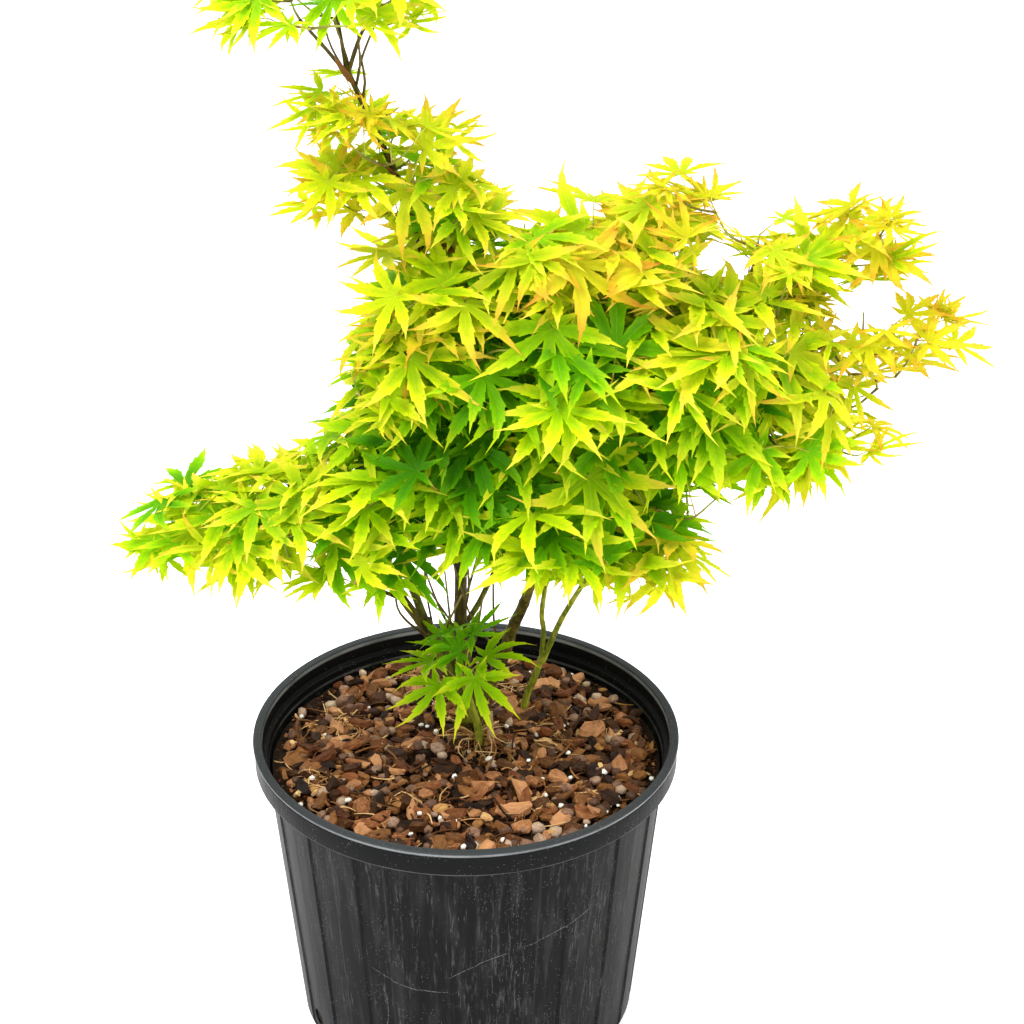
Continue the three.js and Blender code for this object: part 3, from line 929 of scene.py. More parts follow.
BED_EDGE = math.radians(50)
BED_SIDES = 96
BED_DROP = 2.2 * MM
BED_TAPER = 18 * MM
BED_TONE = 0.45
BED_WAVES = 14
BED_WAVE_HEIGHT = 0.28 * MM
FOOT_FIBRES = 90
CLUMPED_SHARE = 0.6
CLUMP_SPREAD = 7 * MM


def chip_shape(rng, length, width, thickness):
    """A rough flat chip: three uneven rings of corners, bent a little along its length."""
    corners = 7
    turns = even_turns(corners) + rng.uniform(-0.25, 0.25, corners)
    reach = rng.uniform(0.72, 1.08, corners)
    rings = []
    for level, size in ((-0.45, 0.82), (0.05, 1.0), (0.45, 0.74)):
        grown = reach * size * rng.uniform(0.9, 1.1, corners)
        rings.append(np.column_stack([
            np.cos(turns) * grown * length / 2,
            np.sin(turns) * grown * width / 2,
            (level + rng.uniform(-0.14, 0.14, corners)) * thickness]))
    points = np.concatenate(rings)
    points[:, 2] += rng.normal(0, 0.5) * points[:, 0] ** 2 / length
    faces = [tuple(reversed(range(corners))), tuple(range(2 * corners, 3 * corners))]
    for k in range(2 * corners):
        a, b = k, k - k % corners + (k + 1) % corners
        faces.append((a, b, b + corners, a + corners))
    return points, faces


def stone_shape(rng, length, width, thickness):
    """A rounded stone: two poles and two uneven rings."""
    corners = 7
    points = [(0, 0, -0.5 * thickness)]
    for height, reach in ((-0.28, 0.86), (0.2, 0.92)):
        for k in range(corners):
            turn = math.tau * (k + rng.uniform(-0.2, 0.2)) / corners
            bulge = reach * rng.uniform(0.86, 1.1)
            points.append((math.cos(turn) * bulge * length / 2, math.sin(turn) * bulge * width / 2,
                           (height + rng.uniform(-0.06, 0.06)) * thickness))
    points.append((0, 0, 0.5 * thickness))
    last = len(points) - 1
    faces = []
    for k in range(corners):
        a, b = 1 + k, 1 + (k + 1) % corners
        faces += [(0, b, a), (a, b, b + corners, a + corners), (a + corners, b + corners, last)]
    return np.array(points), faces


def turned(points, rng, tilt):
    """Points turned any way round and tilted by up to about the tilt."""
    yaw = rng.uniform(0, math.tau)
    lean = rng.normal(0, tilt)
    way = rng.uniform(0, math.tau)
    cy, sy, cl, sl = math.cos(yaw), math.sin(yaw), math.cos(lean), math.sin(lean)
    axis = np.array((math.cos(way), math.sin(way), 0))
    spun = points @ np.array(((cy, sy, 0), (-sy, cy, 0), (0, 0, 1)))
    return spun * cl + np.cross(axis, spun) * sl + np.outer(spun @ axis, axis) * (1 - cl)


def spot(rng, margin):
    """A point on the soil's disc, clear of its edge by the margin."""
    radius = (SOIL_RADIUS - margin) * math.sqrt(rng.uniform(0, 1))
    turn = rng.uniform(0, math.tau)
    return np.array((radius * math.cos(turn), radius * math.sin(turn), 0.0))


def scatter(rng, count, shape, sizes, rise, tilt, tones):
    """Bits of one kind strewn over the soil and joined."""
    heap = Heap()
    for _ in range(count):
        length = rng.uniform(*sizes) * MM
        slender, flat = (0.32, 0.75), (0.16, 0.34)
        if shape is stone_shape:
            slender, flat = (0.65, 0.95), (0.5, 0.8)
        width = length * rng.uniform(*slender)
        thickness = length * rng.uniform(*flat)
        points, faces = shape(rng, length, width, thickness)
        place = spot(rng, length * 0.5)
        place[2] = SOIL_HIGH.z + rng.uniform(*rise) * MM
        heap.add(turned(points, rng, tilt) + place, faces, rng.uniform(*tones), grain=points)
    return heap


def fibres(rng, count, lengths, thick, bow, clumps, rise):
    """Thin curved fibres, joined. Where there are clumps, most fibres lie in them."""
    heap = Heap()
    centres = [spot(rng, 25 * MM) for _ in range(clumps)]
    for _ in range(count):
        length = rng.uniform(*lengths) * MM
        bend = rng.normal(0, bow) * length
        curl = rng.normal(0, 0.3) * bend
        route = np.array(((-0.5 * length, 0, 0), (-0.15 * length, bend, 0.05 * length),
                          (0.25 * length, bend * 0.8 + curl, 0.04 * length), (0.5 * length, curl, 0)))
        place = spot(rng, length / 2)
        if clumps and rng.uniform() < CLUMPED_SHARE:
            place = centres[rng.integers(clumps)] + rng.normal(0, CLUMP_SPREAD, 3) * (1, 1, 0)
        place[2] = SOIL_HIGH.z + rng.uniform(*rise) * MM
        path = turned(smooth_path(route, length / 6), rng, 0.16)
        add_fibre(heap, rng, path, thick, 0.45, place)
    return heap


def foot_fibres(rng):
    """Dry fibres that arch from the foot of the stems down to the mix."""
    heap = Heap()
    foot = np.array((*FOOT, SOIL_HIGH.z / MM)) * MM
    for _ in range(FOOT_FIBRES):
        turn = rng.uniform(0, math.tau)
        out = np.array((math.cos(turn), math.sin(turn), 0.0))
        reach = rng.uniform(9, 30) * MM
        rise = rng.uniform(0.05, 0.55) * reach * UP
        sway = np.cross(out, UP) * rng.normal(0, 0.25) * reach
        route = (foot + out * 3 * MM + 0.5 * rise, foot + 0.45 * reach * out + rise + sway,
                 foot + 0.8 * reach * out + 0.6 * rise + sway, foot + reach * out + 2 * MM * UP)
        path = smooth_path(np.array(route), reach / 7)
        add_fibre(heap, rng, path, (0.5, 1.5), 0.4)
    return heap


class MAPLE_OT_soil(Operator):
    """Model the body of the potting mix with its uneven top"""

    bl_idname = "maple.soil"
    bl_label = "Potting Mix"

    def execute(self, context):
        rng = np.random.default_rng(context.scene.maple_soil.seed)
        top = SOIL_HIGH.z - BED_DROP
        foot_radius = SOIL_RADIUS - BED_TAPER
        rings = 26
        section = [(foot_radius, SOIL_LOW.z), (SOIL_RADIUS - 0.2 * MM, top)]
        section += [(SOIL_RADIUS * (1 - k / rings), top) for k in range(1, rings)]
        bed = turned_shell("potting_mix", BED_SIDES, section)
        waves = rng.uniform(0, math.tau, (BED_WAVES, 2))
        strides = rng.uniform(60, 420, BED_WAVES)
        for vertex in bed.data.vertices:
            if vertex.co.z > top - 1 * MM:
                x, y, _ = vertex.co
                bumps = sum(math.sin(stride * (x * math.cos(way) + y * math.sin(way)) + start)
                            for stride, (way, start) in zip(strides, waves))
                vertex.co.z += bumps * BED_WAVE_HEIGHT
        choose(bed)
        bpy.ops.object.shade_smooth_by_angle(angle=BED_EDGE)
        # Near-black mix between the chips: partly the moist mix's own colour and partly painted shade in
        # the gaps.
        stops = ((0.2, (0.004, 0.002, 0.001)), (0.6, (0.022, 0.010, 0.004)), (0.9, (0.08, 0.04, 0.015)))
        bed.data.materials.append(chip_material("dark_fines_gap_shade", stops, 0.9))
        spots = np.array([list(vertex.co) for vertex in bed.data.vertices])
        mark_points(bed.data, np.full(len(spots), BED_TONE), spots)
        settle(bed, "potting_mix", "soil")
        return {"FINISHED"}


class MAPLE_OT_mulch(Operator):
    """Strew bark chips, crumbs, pebbles, perlite and straws over the potting mix"""

    bl_idname = "maple.mulch"
    bl_label = "Mulch"

    def execute(self, context):
        soil = context.scene.maple_soil
        rng = np.random.default_rng(soil.seed + 1)
        dark = ((0.0, (0.004, 0.001, 0.000)), (0.5, (0.058, 0.019, 0.004)), (1.0, (0.24, 0.096, 0.028)))
        red = ((0.0, (0.028, 0.007, 0.002)), (0.5, (0.19, 0.060, 0.017)), (1.0, (0.52, 0.25, 0.11)))
        tan = ((0.0, (0.13, 0.048, 0.012)), (0.5, (0.40, 0.19, 0.060)), (1.0, (0.76, 0.50, 0.23)))
        stone = ((0.0, (0.060, 0.028, 0.016)), (0.5, (0.23, 0.120, 0.074)), (1.0, (0.56, 0.41, 0.29)))
        white = ((0.0, (0.62, 0.56, 0.46)), (0.5, (0.86, 0.83, 0.76)), (1.0, (0.96, 0.95, 0.91)))
        reds, few = soil.crumbs // 4, soil.chips // 26
        # Each kind: its name, number, shape, length and rise over the mix in millimetres, tilt, tones,
        # colours and roughness.
        kinds = (
            ("crumbs_dark", soil.crumbs, chip_shape, (2, 5.5), (-3, 0), 0.6, (0, 0.75), dark, 0.85),
            ("crumbs_red", reds, chip_shape, (2, 5.5), (-2.6, 0.6), 0.6, (0, 0.8), red, 0.85),
            ("chips_dark", soil.chips // 2, chip_shape, (9, 22), (-1.6, 3), 0.45, (0, 1), dark, 0.5),
            ("chips_red", soil.chips // 4, chip_shape, (8, 20), (-1, 3.2), 0.45, (0, 1), red, 0.6),
            ("chips_large", few, chip_shape, (16, 25), (2, 4.4), 0.3, (0.2, 1), red, 0.7),
            ("chips_tan", soil.chips // 8, chip_shape, (5, 13), (0, 3.4), 0.45, (0, 1), tan, 0.75),
            ("pebbles", soil.pebbles, stone_shape, (5, 12), (0.2, 3.2), 0.3, (0, 0.9), stone, 0.5),
            ("perlite", soil.perlite, stone_shape, (2.6, 5.6), (1, 4), 0.5, (0.3, 1), white, 0.85),
        )
        for name, count, shape, sizes, rise, tilt, tones, stops, roughness in kinds:
            heap = scatter(rng, count, shape, sizes, rise, tilt, tones)
            piece = heap.build(name, chip_material(name, stops, roughness), shape is stone_shape)
            settle(piece, "potting_mix")
        straws = fibres(rng, soil.straws, (8, 24), (0.5, 1.6), 0.22, 12, (0.8, 3.6))
        settle(straws.build("straws", chip_material("straws", tan, 0.7)), "potting_mix")
        sticks = fibres(rng, soil.straws // 5, (14, 38), (1.0, 2.2), 0.12, 0, (0.6, 3.4))
        settle(sticks.build("sticks", chip_material("sticks", dark, 0.55)), "potting_mix")
        dry = foot_fibres(rng)
        settle(dry.build("foot_fibres", chip_material("foot_fibres", tan, 0.7)), "dry_stem")
        return {"FINISHED"}


# ---------------------------------------------------------------- limbs


# The waves of the bark: ridges round the limb, ripples along it and height against the radius.
BARK_WAVES = ((2, 45, 0.03), (3, 120, 0.025), (5, 210, 0.02), (4, 520, 0.015))
SCAR_HEIGHT = 0.13
SCAR_WIDTH = 1.3 * MM
RING_SPACING = 2.2 * MM
ROOT_FLARE = 7 * MM
ROOT_FLARE_HEIGHT = 12 * MM
COLLAR = 0.25
COLLAR_LENGTH = 6 * MM


def relief(rng, count, sides, spacing):
    """Bark relief as a factor on the radius, for each ring and side: ridges, ripples and leaf scars."""
    around = even_turns(sides)[None, :]
    along = (np.arange(count) * spacing)[:, None]
    waves = 1.0
    for ridges, ripple, height in BARK_WAVES:
        start, drift = rng.uniform(0, math.tau, 2)
        waves = waves + height * np.sin(ridges * around + ripple * along + start) * np.cos(
            0.37 * ripple * along + drift)
    scar = rng.uniform(8, 20) * MM
    while scar < count * spacing:
        waves = waves + SCAR_HEIGHT * np.exp(-((along - scar) / SCAR_WIDTH) ** 2)
        scar += rng.uniform(16, 34) * MM
    return waves


def limb_mesh(rng, limb):
    """One limb with its bark. The trunk flares at its foot, and a fork has a collar where it starts."""
    name, _, thick, thin, route = limb
    path = smooth_path(np.array(route) * MM, RING_SPACING)
    travel = np.linspace(0, 1, len(path))
    radii = (thick + (thin - thick) * travel) / 2 * MM
    rooted = route[0][2] * MM < SOIL_HIGH.z
    sides = 14 if thick > 4 else 8
    radii = radii[:, None] * relief(rng, len(path), sides, RING_SPACING)
    if name == "trunk":
        around = even_turns(sides)
        lobes = 1 + 0.35 * np.sin(4 * around + 0.6) + 0.2 * np.sin(3 * around)
        height = np.maximum(path[:, 2] - SOIL_HIGH.z, 0)
        radii = radii + ROOT_FLARE * np.exp(-height / ROOT_FLARE_HEIGHT)[:, None] * lobes
    elif not rooted:
        collar = np.exp(-np.arange(len(path)) * RING_SPACING / COLLAR_LENGTH)
        radii = radii * (1 + COLLAR * collar)[:, None]
    return tube(path, radii, sides)


class MAPLE_OT_limbs(Operator):
    """Grow the trunk, stems and bare boughs with the relief of their bark"""

    bl_idname = "maple.limbs"
    bl_label = "Stems and Boughs"

    def execute(self, context):
        rng = np.random.default_rng(context.scene.maple_plant.seed)
        for bark, (slot_name, *_) in BARKS.items():
            heap = Heap()
            limbs = [limb for limb in LIMBS if limb[1] == bark]
            for limb in limbs:
                heap.add(*limb_mesh(rng, limb))
            piece = heap.build(f"limbs_{bark}", bark_material(bark))
            settle(piece, slot_name, *(limb[0] for limb in limbs))
        return {"FINISHED"}


# ---------------------------------------------------------------- leaves


class LeafShape:
    """One flat hand-shaped blade of unit length, as corners that each belong to a lobe.

    A corner has its lobe, its way along the lobe, its way aside and its place in the leaf's map.
    Each station is a tooth: the way along, and half the lobe's width at the tooth and behind it.
    """

    STATIONS = ((0.28, 0.075, 0.065), (0.44, 0.101, 0.079), (0.60, 0.079, 0.055), (0.78, 0.034, 0.021))
    # A lobe shorter than this has one tooth a side.
    SMALL_LOBE = 0.5
    # Where lobes part: how far from the stalk, and how far and at what turn outside the outermost lobes.
    GAP_RADIUS = 0.14
    OUTER_GAP = (0.10, 0.5)
    # How much lobes differ in length, turn, sweep and hang.
    UNEVEN = (0.07, 0.06, 0.2, 0.07)

    def __init__(self, turns, reach, width):
        self.turns = np.radians(turns)
        self.reach = np.array(reach)
        self.corners = [(0, 0.0, 0.0, 0.0, 0.0)]
        self.faces = []
        lobes = len(turns)
        gaps = [self.gap(k, lobes) for k in range(lobes + 1)]
        for lobe in range(lobes):
            stations = self.STATIONS[:1] if reach[lobe] < self.SMALL_LOBE else self.STATIONS
            mids = [self.corner(lobe, along, 0.0, 0.0) for along, _, _ in stations]
            tip = self.corner(lobe, 1.0, 0.0, 0.0)
            for side in (-1, 1):
                self.half_lobe(lobe, side, stations, mids, tip, gaps[lobe + (side > 0)], width)
        self.lobe = np.array([corner[0] for corner in self.corners])
        self.along = np.array([corner[1] for corner in self.corners])
        self.aside = np.array([corner[2] for corner in self.corners])
        self.map = np.array([corner[3:] for corner in self.corners])

    def corner(self, lobe, along, aside, across):
        self.corners.append((lobe, along, aside, along, across))
        return len(self.corners) - 1

    def gap(self, index, lobes):
        """The corner where two lobes part, given as a place on the lobe before it."""
        if index == 0 or index == lobes:
            radius, aside_turn = self.OUTER_GAP
            lobe, turn = (0, -aside_turn) if index == 0 else (lobes - 1, aside_turn)
        else:
            lobe = index - 1
            turn = (self.turns[index] - self.turns[lobe]) / 2
            shorter = min(self.reach[index], self.reach[lobe])
            radius = self.GAP_RADIUS * min(1.0, 0.45 + 0.55 * shorter)
        along = radius * math.cos(turn) / self.reach[lobe]
        aside = radius * math.sin(turn)
        self.corners.append((lobe, along, aside, 0.16, 1.0))
        return len(self.corners) - 1

    def half_lobe(self, lobe, side, stations, mids, tip, gap, width):
        """Quads out to the tip, with the margin stepping in behind each tooth."""
        last_mid, last_edge = 0, gap
        for (along, tooth, notch), mid in zip(stations, mids):
            outer = self.corner(lobe, along, side * tooth * width, 1.0)
            self.face(side, last_mid, last_edge, outer, mid)
            last_mid, last_edge = mid, outer
            if notch < tooth:
                last_edge = self.corner(lobe, along, side * notch * width, notch / tooth)
        self.face(side, last_mid, last_edge, tip)

    def face(self, side, *corners):
        self.faces.append(corners if side < 0 else tuple(reversed(corners)))

    def place(self, rng, size, droop, fold, at, forward, normal):
        """The blade's corners at its place, with each lobe hanging and swept a little its own way."""
        lobes = len(self.turns)
        length_spread, turn_spread, sweep_spread, hang_spread = self.UNEVEN
        reach = self.reach * (1 + rng.normal(0, length_spread, lobes))
        turn = (self.turns + rng.normal(0, turn_spread, lobes))[self.lobe]
        turn = turn + rng.normal(0, sweep_spread, lobes)[self.lobe] * self.along ** 2
        x = self.along * reach[self.lobe] * size
        y = self.aside * size
        flat_x = np.cos(turn) * x - np.sin(turn) * y
        flat_y = np.sin(turn) * x + np.cos(turn) * y
        hang = (droop + rng.normal(0, hang_spread, lobes))[self.lobe]
        distance = np.hypot(flat_x, flat_y)
        height = 0.10 * distance + fold * np.abs(y) - hang * distance ** 2 / size
        shrink = 1 - 0.55 * np.maximum(hang, 0) * (distance / size) ** 2
        right = np.cross(normal, forward)
        return (at + np.outer(flat_x * shrink, forward) + np.outer(flat_y * shrink, right)
                + np.outer(height, normal))


GROWN_LEAF = LeafShape(
    (-130, -83, -40, 0, 40, 83, 130), (0.38, 0.82, 0.96, 1.0, 0.96, 0.82, 0.38), 1.0)
YOUNG_LEAF = LeafShape((-98, -46, 0, 46, 98), (0.64, 0.92, 1.0, 0.92, 0.64), 0.74)


class Outline:
    """The crown's outline as one soft field.

    It is about 1 in the middle of a mass alone, more where masses meet, and falls off outwards.
    """

    # Leaves may reach farther out to the front and back, and these parts of their corners have to fit.
    STRETCH = (1, 1.3, 1)
    PERCENT_IN_CROWN = 88
    PERCENT_OFF_SKY = 94

    def __init__(self):
        boxes = [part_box(MASS + spray[0]) for spray in SPRAYS]
        low, high = np.array([[list(corner) for corner in box] for box in boxes]).swapaxes(0, 1)
        self.centres = np.concatenate([(low + high) / 2, np.array([join[1] for join in JOINS]) * MM])
        self.halves = np.concatenate([(high - low) / 2, np.array([join[2] for join in JOINS]) * MM])
        self.openings = np.array(OPENINGS) * MM

    def depth(self, place):
        return np.exp(-(((place - self.centres) / self.halves) ** 2).sum(1)).sum()

    def overshoot(self, points):
        """How far the points reach out of the masses, into an opening or past the slack of the CAD box.

        The few farthest out of the masses and into an opening are left out.
        """
        steps = (points[:, None, :] - self.centres) / (self.halves * self.STRETCH)
        reach = (np.linalg.norm(steps, axis=2) - 1) * self.halves.mean(1)
        beyond = np.maximum(points - CAD_BOX[1], np.array(CAD_BOX[0]) - points).max()
        across = (self.seen(points)[:, None, :] - self.openings[:, 0]) / self.openings[:, 1]
        open_sky = (1 - np.linalg.norm(across, axis=2).min(1)) * self.openings[:, 1].mean()
        return max(np.percentile(reach.min(1), self.PERCENT_IN_CROWN),
                   np.percentile(open_sky, self.PERCENT_OFF_SKY), beyond - BOX_SLACK)

    def seen(self, points):
        """Where the points lie seen from the front: along, and up to their sight line."""
        return np.column_stack([points[:, 0], points[:, 2] + SIGHT * points[:, 1]])

    def shade_and_light_shift(self, place):
        """By how many tints a leaf is moved here, seen from the front: towards green and darker as
        painted shade, towards golden and brighter as painted light that is partly real colour.
        """
        seen = self.seen(place[None, :])[0] / MM
        inside = [shift for middle, half, shift in SHADE_AND_LIGHT_PATCHES
                  if np.linalg.norm((seen - middle) / np.array(half)) < 1]
        return sum(inside)

    def outward(self, place):
        """The way out of the crown from here."""
        steps = (place - self.centres) / self.halves
        weights = np.exp(-(steps ** 2).sum(1))
        return unit((weights[:, None] * steps / self.halves).sum(0))


def tint_after(tint, steps, last=TINT_ORDER[-1]):
    """The tint so many steps more golden than this one, up to the last."""
    index = TINT_ORDER.index(tint)
    return TINT_ORDER[min(max(index + steps, 0), TINT_ORDER.index(last))]


def limb_route(name):
    """The route of a limb, in metres."""
    return [np.array(limb[4]) * MM for limb in LIMBS if limb[0] == name][0]


class Growth:
    """Everything that grows on from the limbs: boughs, shoots, leaf stalks and leaves."""

    # Room for the leaves' middles, which start far away, and how much more a gap upwards counts.
    MOST_LEAVES = 6000
    FLATTENING = np.array((1.0, 1.0, 1.5))
    # How much farther wood counts for each metre that it lies too high for a shoot.
    CLIMB_COST = 1.2
    # How far a twig sags and wanders in its middle, against its length.
    SAG = 0.1
    WANDER = 0.06
    # The first young pair's size and how much smaller the next is, against the leaves, and how far off
    # they stand.
    YOUNG_SIZE = 0.66
    YOUNG_SHRINK = 0.14
    YOUNG_START = 3 * MM
    YOUNG_STEP = 4 * MM
    # How much less leaves droop at the thin edges, and how far young ones lift.
    FIRM = 0.45
    YOUNG_LIFT = 0.16
    YELLOW_SHARE = 0.03

    def __init__(self, settings):
        self.rng = np.random.default_rng(settings.seed)
        self.settings = settings
        self.outline = Outline()
        self.twigs = Heap()
        self.stalks = Heap()
        self.leaves = {tint: Heap() for tint in TINTS}
        self.middles = np.full((self.MOST_LEAVES, 3), 9.0)
        self.leaf_count = 0
        self.wood = np.concatenate([smooth_path(np.array(limb[4]) * MM, TWIG_STEP) for limb in LIMBS])
        for name, count, *heights in WHIPS:
            self.grow_whips(name, count, *(height * MM for height in heights))
        for place, spray in self.find_tips():
            self.grow_shoot(place, *spray[2:])
        self.grow_basal()

    def find_tips(self):
        """Where shoots end: evenly apart all over the crown, the nearest to the limbs first."""
        rng = self.rng
        tips = []
        joins = [(join[0], *join[3:], 0) for join in JOINS]
        for index, spray in enumerate((*SPRAYS, *joins)):
            centre, half = self.outline.centres[index], self.outline.halves[index]
            length = spray[2] * MM * self.settings.leaf_scale
            room = np.maximum(half - ROOM * length, 0.35 * half)
            apart = spray[1] * MM
            for _ in range(PLACES_TRIED):
                step = unit(rng.normal(0, 1, 3)) * rng.uniform(0, 1) ** (1 / 3)
                place = centre + step * half
                inside = ((step * half / room) ** 2).sum() < 1
                depth = self.outline.depth(place)
                if not inside and depth < JOINED_DEPTH:
                    continue
                gaps = [np.linalg.norm((place - tip[0]) * self.FLATTENING) for tip in tips]
                spacing = THIN_SPACING if depth < THIN_DEPTH else FULL_SPACING
                if not gaps or min(gaps) > apart * spacing:
                    tips.append((place, spray))
        return sorted(tips, key=lambda tip: np.linalg.norm(self.wood - tip[0], axis=1).min())

    def grow_whips(self, name, count, low, high, rise):
        """Thin bare twigs that rise from a limb, between two heights, into the leaves above."""
        rng = self.rng
        path = smooth_path(limb_route(name), 3 * MM)
        path = path[(path[:, 2] > low) & (path[:, 2] < high)]
        for _ in range(count):
            start = path[rng.integers(len(path))]
            reach = rng.uniform(0.75, 1.25)
            end = start + np.array((rng.normal(0, 0.3), rng.normal(-0.05, 0.2), 1)) * reach * rise
            self.branch(start, end, rng.uniform(1.6, 2.6), 1.2, (0.05, 0.5))

    def nearest_wood(self, place):
        """The point of the wood that a shoot to the place would start from, and how far it is.

        Wood that doesn't lie at least a twig's step below the place counts as farther.
        """
        lead = np.linalg.norm(self.wood - place, axis=1)
        lead = lead + self.CLIMB_COST * np.maximum(self.wood[:, 2] - place[2] + TWIG_STEP, 0)
        return self.wood[lead.argmin()], lead.min()

    def branch(self, start, end, thick, thin, tones):
        """Adds a twig that sags a little between start and end, and returns its path."""
        reach = np.linalg.norm(end - start)
        wander = self.rng.normal(0, self.WANDER, 3) * reach
        middle = (start + end) / 2 - self.SAG * reach * UP + wander
        path = smooth_path((start, middle, end), TWIG_STEP)
        radii = np.linspace(thick, thin, len(path)) / 2 * MM
        sides = 6
        tone = np.repeat(np.linspace(*tones, len(path)), sides)
        self.twigs.add(*tube(path, radii, sides), tone)
        self.wood = np.concatenate([self.wood, path])
        return path

    def grow_shoot(self, place, leaf_length, tints, tufts):
        """Opposite pairs of leaves up a new shoot, each pair a quarter turn from the last."""
        rng = self.rng
        length = leaf_length * MM * self.settings.leaf_scale
        tints = self.shift_tints(tints)
        start, reach = self.nearest_wood(place)
        long_way = min(1.0, reach / LONG_SHOOT)
        path = self.branch(start, place, 1.7 + 1.2 * long_way, 1.1, (0.55 - 0.5 * long_way, 0.95))
        axis = unit(path[-1] - path[-2])
        quarter = rng.uniform(0, math.pi)
        for index in range(len(path) - 1, 0, -PAIR_STEPS):
            last = index == len(path) - 1
            stalk = END_STALK if last else SIDE_STALK
            self.grow_pair(path[index], axis, quarter, length, stalk, tints, last and tufts > 1)
            quarter += math.pi / 2 + rng.normal(0, 0.25)
        if self.outline.depth(place) > YOUNG_DEPTH:
            return
        young_tints = (tint_after(tints[0], 2 if tufts > 1 else 1),) * 3
        for tuft in range(tufts):
            at = path[-1] + axis * (self.YOUNG_START + self.YOUNG_STEP * tuft)
            size = length * (self.YOUNG_SIZE - self.YOUNG_SHRINK * tuft)
            self.grow_pair(at, axis, quarter, size, YOUNG_STALK, young_tints, young=True)
            quarter += math.pi / 2

    def shift_tints(self, tints):
        """Now and then a shoot is greener or more golden than its neighbours, and a few are yellow."""
        shift = self.rng.choice((-1, 0, 0, 0, 1))
        if self.rng.uniform() < self.YELLOW_SHARE:
            return "yellow", "yellow", "lime"
        return tuple(tint_after(tint, shift, "gold") for tint in tints)

    def grow_basal(self):
        """The few leaves low on the stem that stands in front of the trunk."""
        low, high = (np.array(corner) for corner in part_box(BASAL_MASS))
        base = limb_route("basal_stem")[-1]
        for way, size, tint in BASAL_LEAVES:
            place = (low + high) / 2 + np.array(way) * (high - low) * BASAL_REACH
            out = unit(place - base)
            light = np.array((way[0] * 0.3, -0.9 if way[1] < 0 else 0.0, 0.0))
            leaf = self.aim_leaf(base - UP * 4 * MM, out - UP * 0.3, place, size * MM, False, light)
            self.add_leaf(leaf, (tint, "mid", "mid"), False)

    def grow_pair(self, at, axis, quarter, size, stalk, tints, young=False):
        """Two leaves on opposite sides, each turned a little to where it has the most room."""
        rng = self.rng
        side = unit(np.cross(axis, (0.2, 0.3, 0.9)))
        other = np.cross(axis, side)
        outward = self.outline.outward(at)
        for hand in (-1, 1):
            grown = size * rng.uniform(0.8, 1.12)
            reach = size * stalk * self.settings.petiole * rng.uniform(0.75, 1.25)
            for shrink in SHRINKS:
                tries = []
                for turn in quarter + rng.normal(0, 0.7, TURNS_TRIED):
                    spread = math.cos(turn) * side + math.sin(turn) * other
                    lean = spread * hand * 0.9 + axis * (1.0 if young else 0.35)
                    way = unit(lean * (1, 1, 0.6) + outward * 0.35 + UP * 0.12)
                    tries.append(self.aim_leaf(at, way, at + way * reach, grown * shrink, young))
                tries = [leaf for leaf in tries if self.outline.overshoot(leaf[2]) < FARTHEST]
                if tries:
                    break
            if tries:
                best = max(tries, key=lambda leaf: self.room_at(leaf[3]))
                self.add_leaf(best, tints, young)

    def room_at(self, middle):
        """The way from a leaf's middle to the nearest other leaf's."""
        known = self.middles[:self.leaf_count + 1]
        return np.linalg.norm((known - middle) * self.FLATTENING, axis=1).min()

    def aim_leaf(self, at, out, end, size, young, light=LIGHT_SIDE):
        """A leaf on a stalk from one place to the other: both places, its corners and its middle.

        The blade faces up, a little outwards and to the light.
        """
        rng = self.rng
        outward = self.outline.outward(end) * (1, 1, 0.3)
        normal = unit(UP + outward * LEAF_LEAN + light + rng.normal(0, LEAF_TILT, 3))
        forward = out - UP * (0.0 if young else 0.1)
        forward = unit(forward - normal * (forward @ normal))
        shape = YOUNG_LEAF if young else GROWN_LEAF
        firm = self.FIRM if self.outline.depth(end) < THIN_DEPTH else 1.0
        lift = self.YOUNG_LIFT if young else 0
        droop = self.settings.droop * firm * rng.uniform(0.3, 1.7) - lift
        points = shape.place(rng, size, droop, rng.uniform(0.25, 0.6), end, forward, normal)
        return at, end, points, end + forward * 0.4 * size

    def add_leaf(self, leaf, tints, young):
        """Adds an aimed leaf and its stalk. The deeper it lies in the crown, the later, darker and
        greener its tint: partly the inner leaves' own colour and partly painted shade.
        """
        rng = self.rng
        at, end, points, middle = leaf
        path = np.array((at, (at + end) / 2 + UP * 0.08 * np.linalg.norm(end - at), end))
        self.stalks.add(*tube(path, (0.55 * MM, 0.42 * MM, 0.38 * MM), 4), rng.uniform(0, 1))
        self.middles[self.leaf_count] = middle
        self.leaf_count += 1
        depth = self.outline.depth(middle) + rng.normal(0, 0.12)
        # Deeper leaves take darker, greener tints: partly painted shade.
        layer = int(depth > SHADE_TINT_DEPTHS[0]) + int(depth > SHADE_TINT_DEPTHS[1])
        shape = YOUNG_LEAF if young else GROWN_LEAF
        band = rng.integers(LEAF_BANDS)
        across = 0.04 + 0.92 * shape.map[:, 1]
        uv = np.column_stack([shape.map[:, 0], (band + across) / LEAF_BANDS])
        # The front-view patches paint shade and light into the tint.
        tint = tint_after(tints[layer], self.outline.shade_and_light_shift(middle))
        self.leaves[tint].add(points, shape.faces, uv=uv)


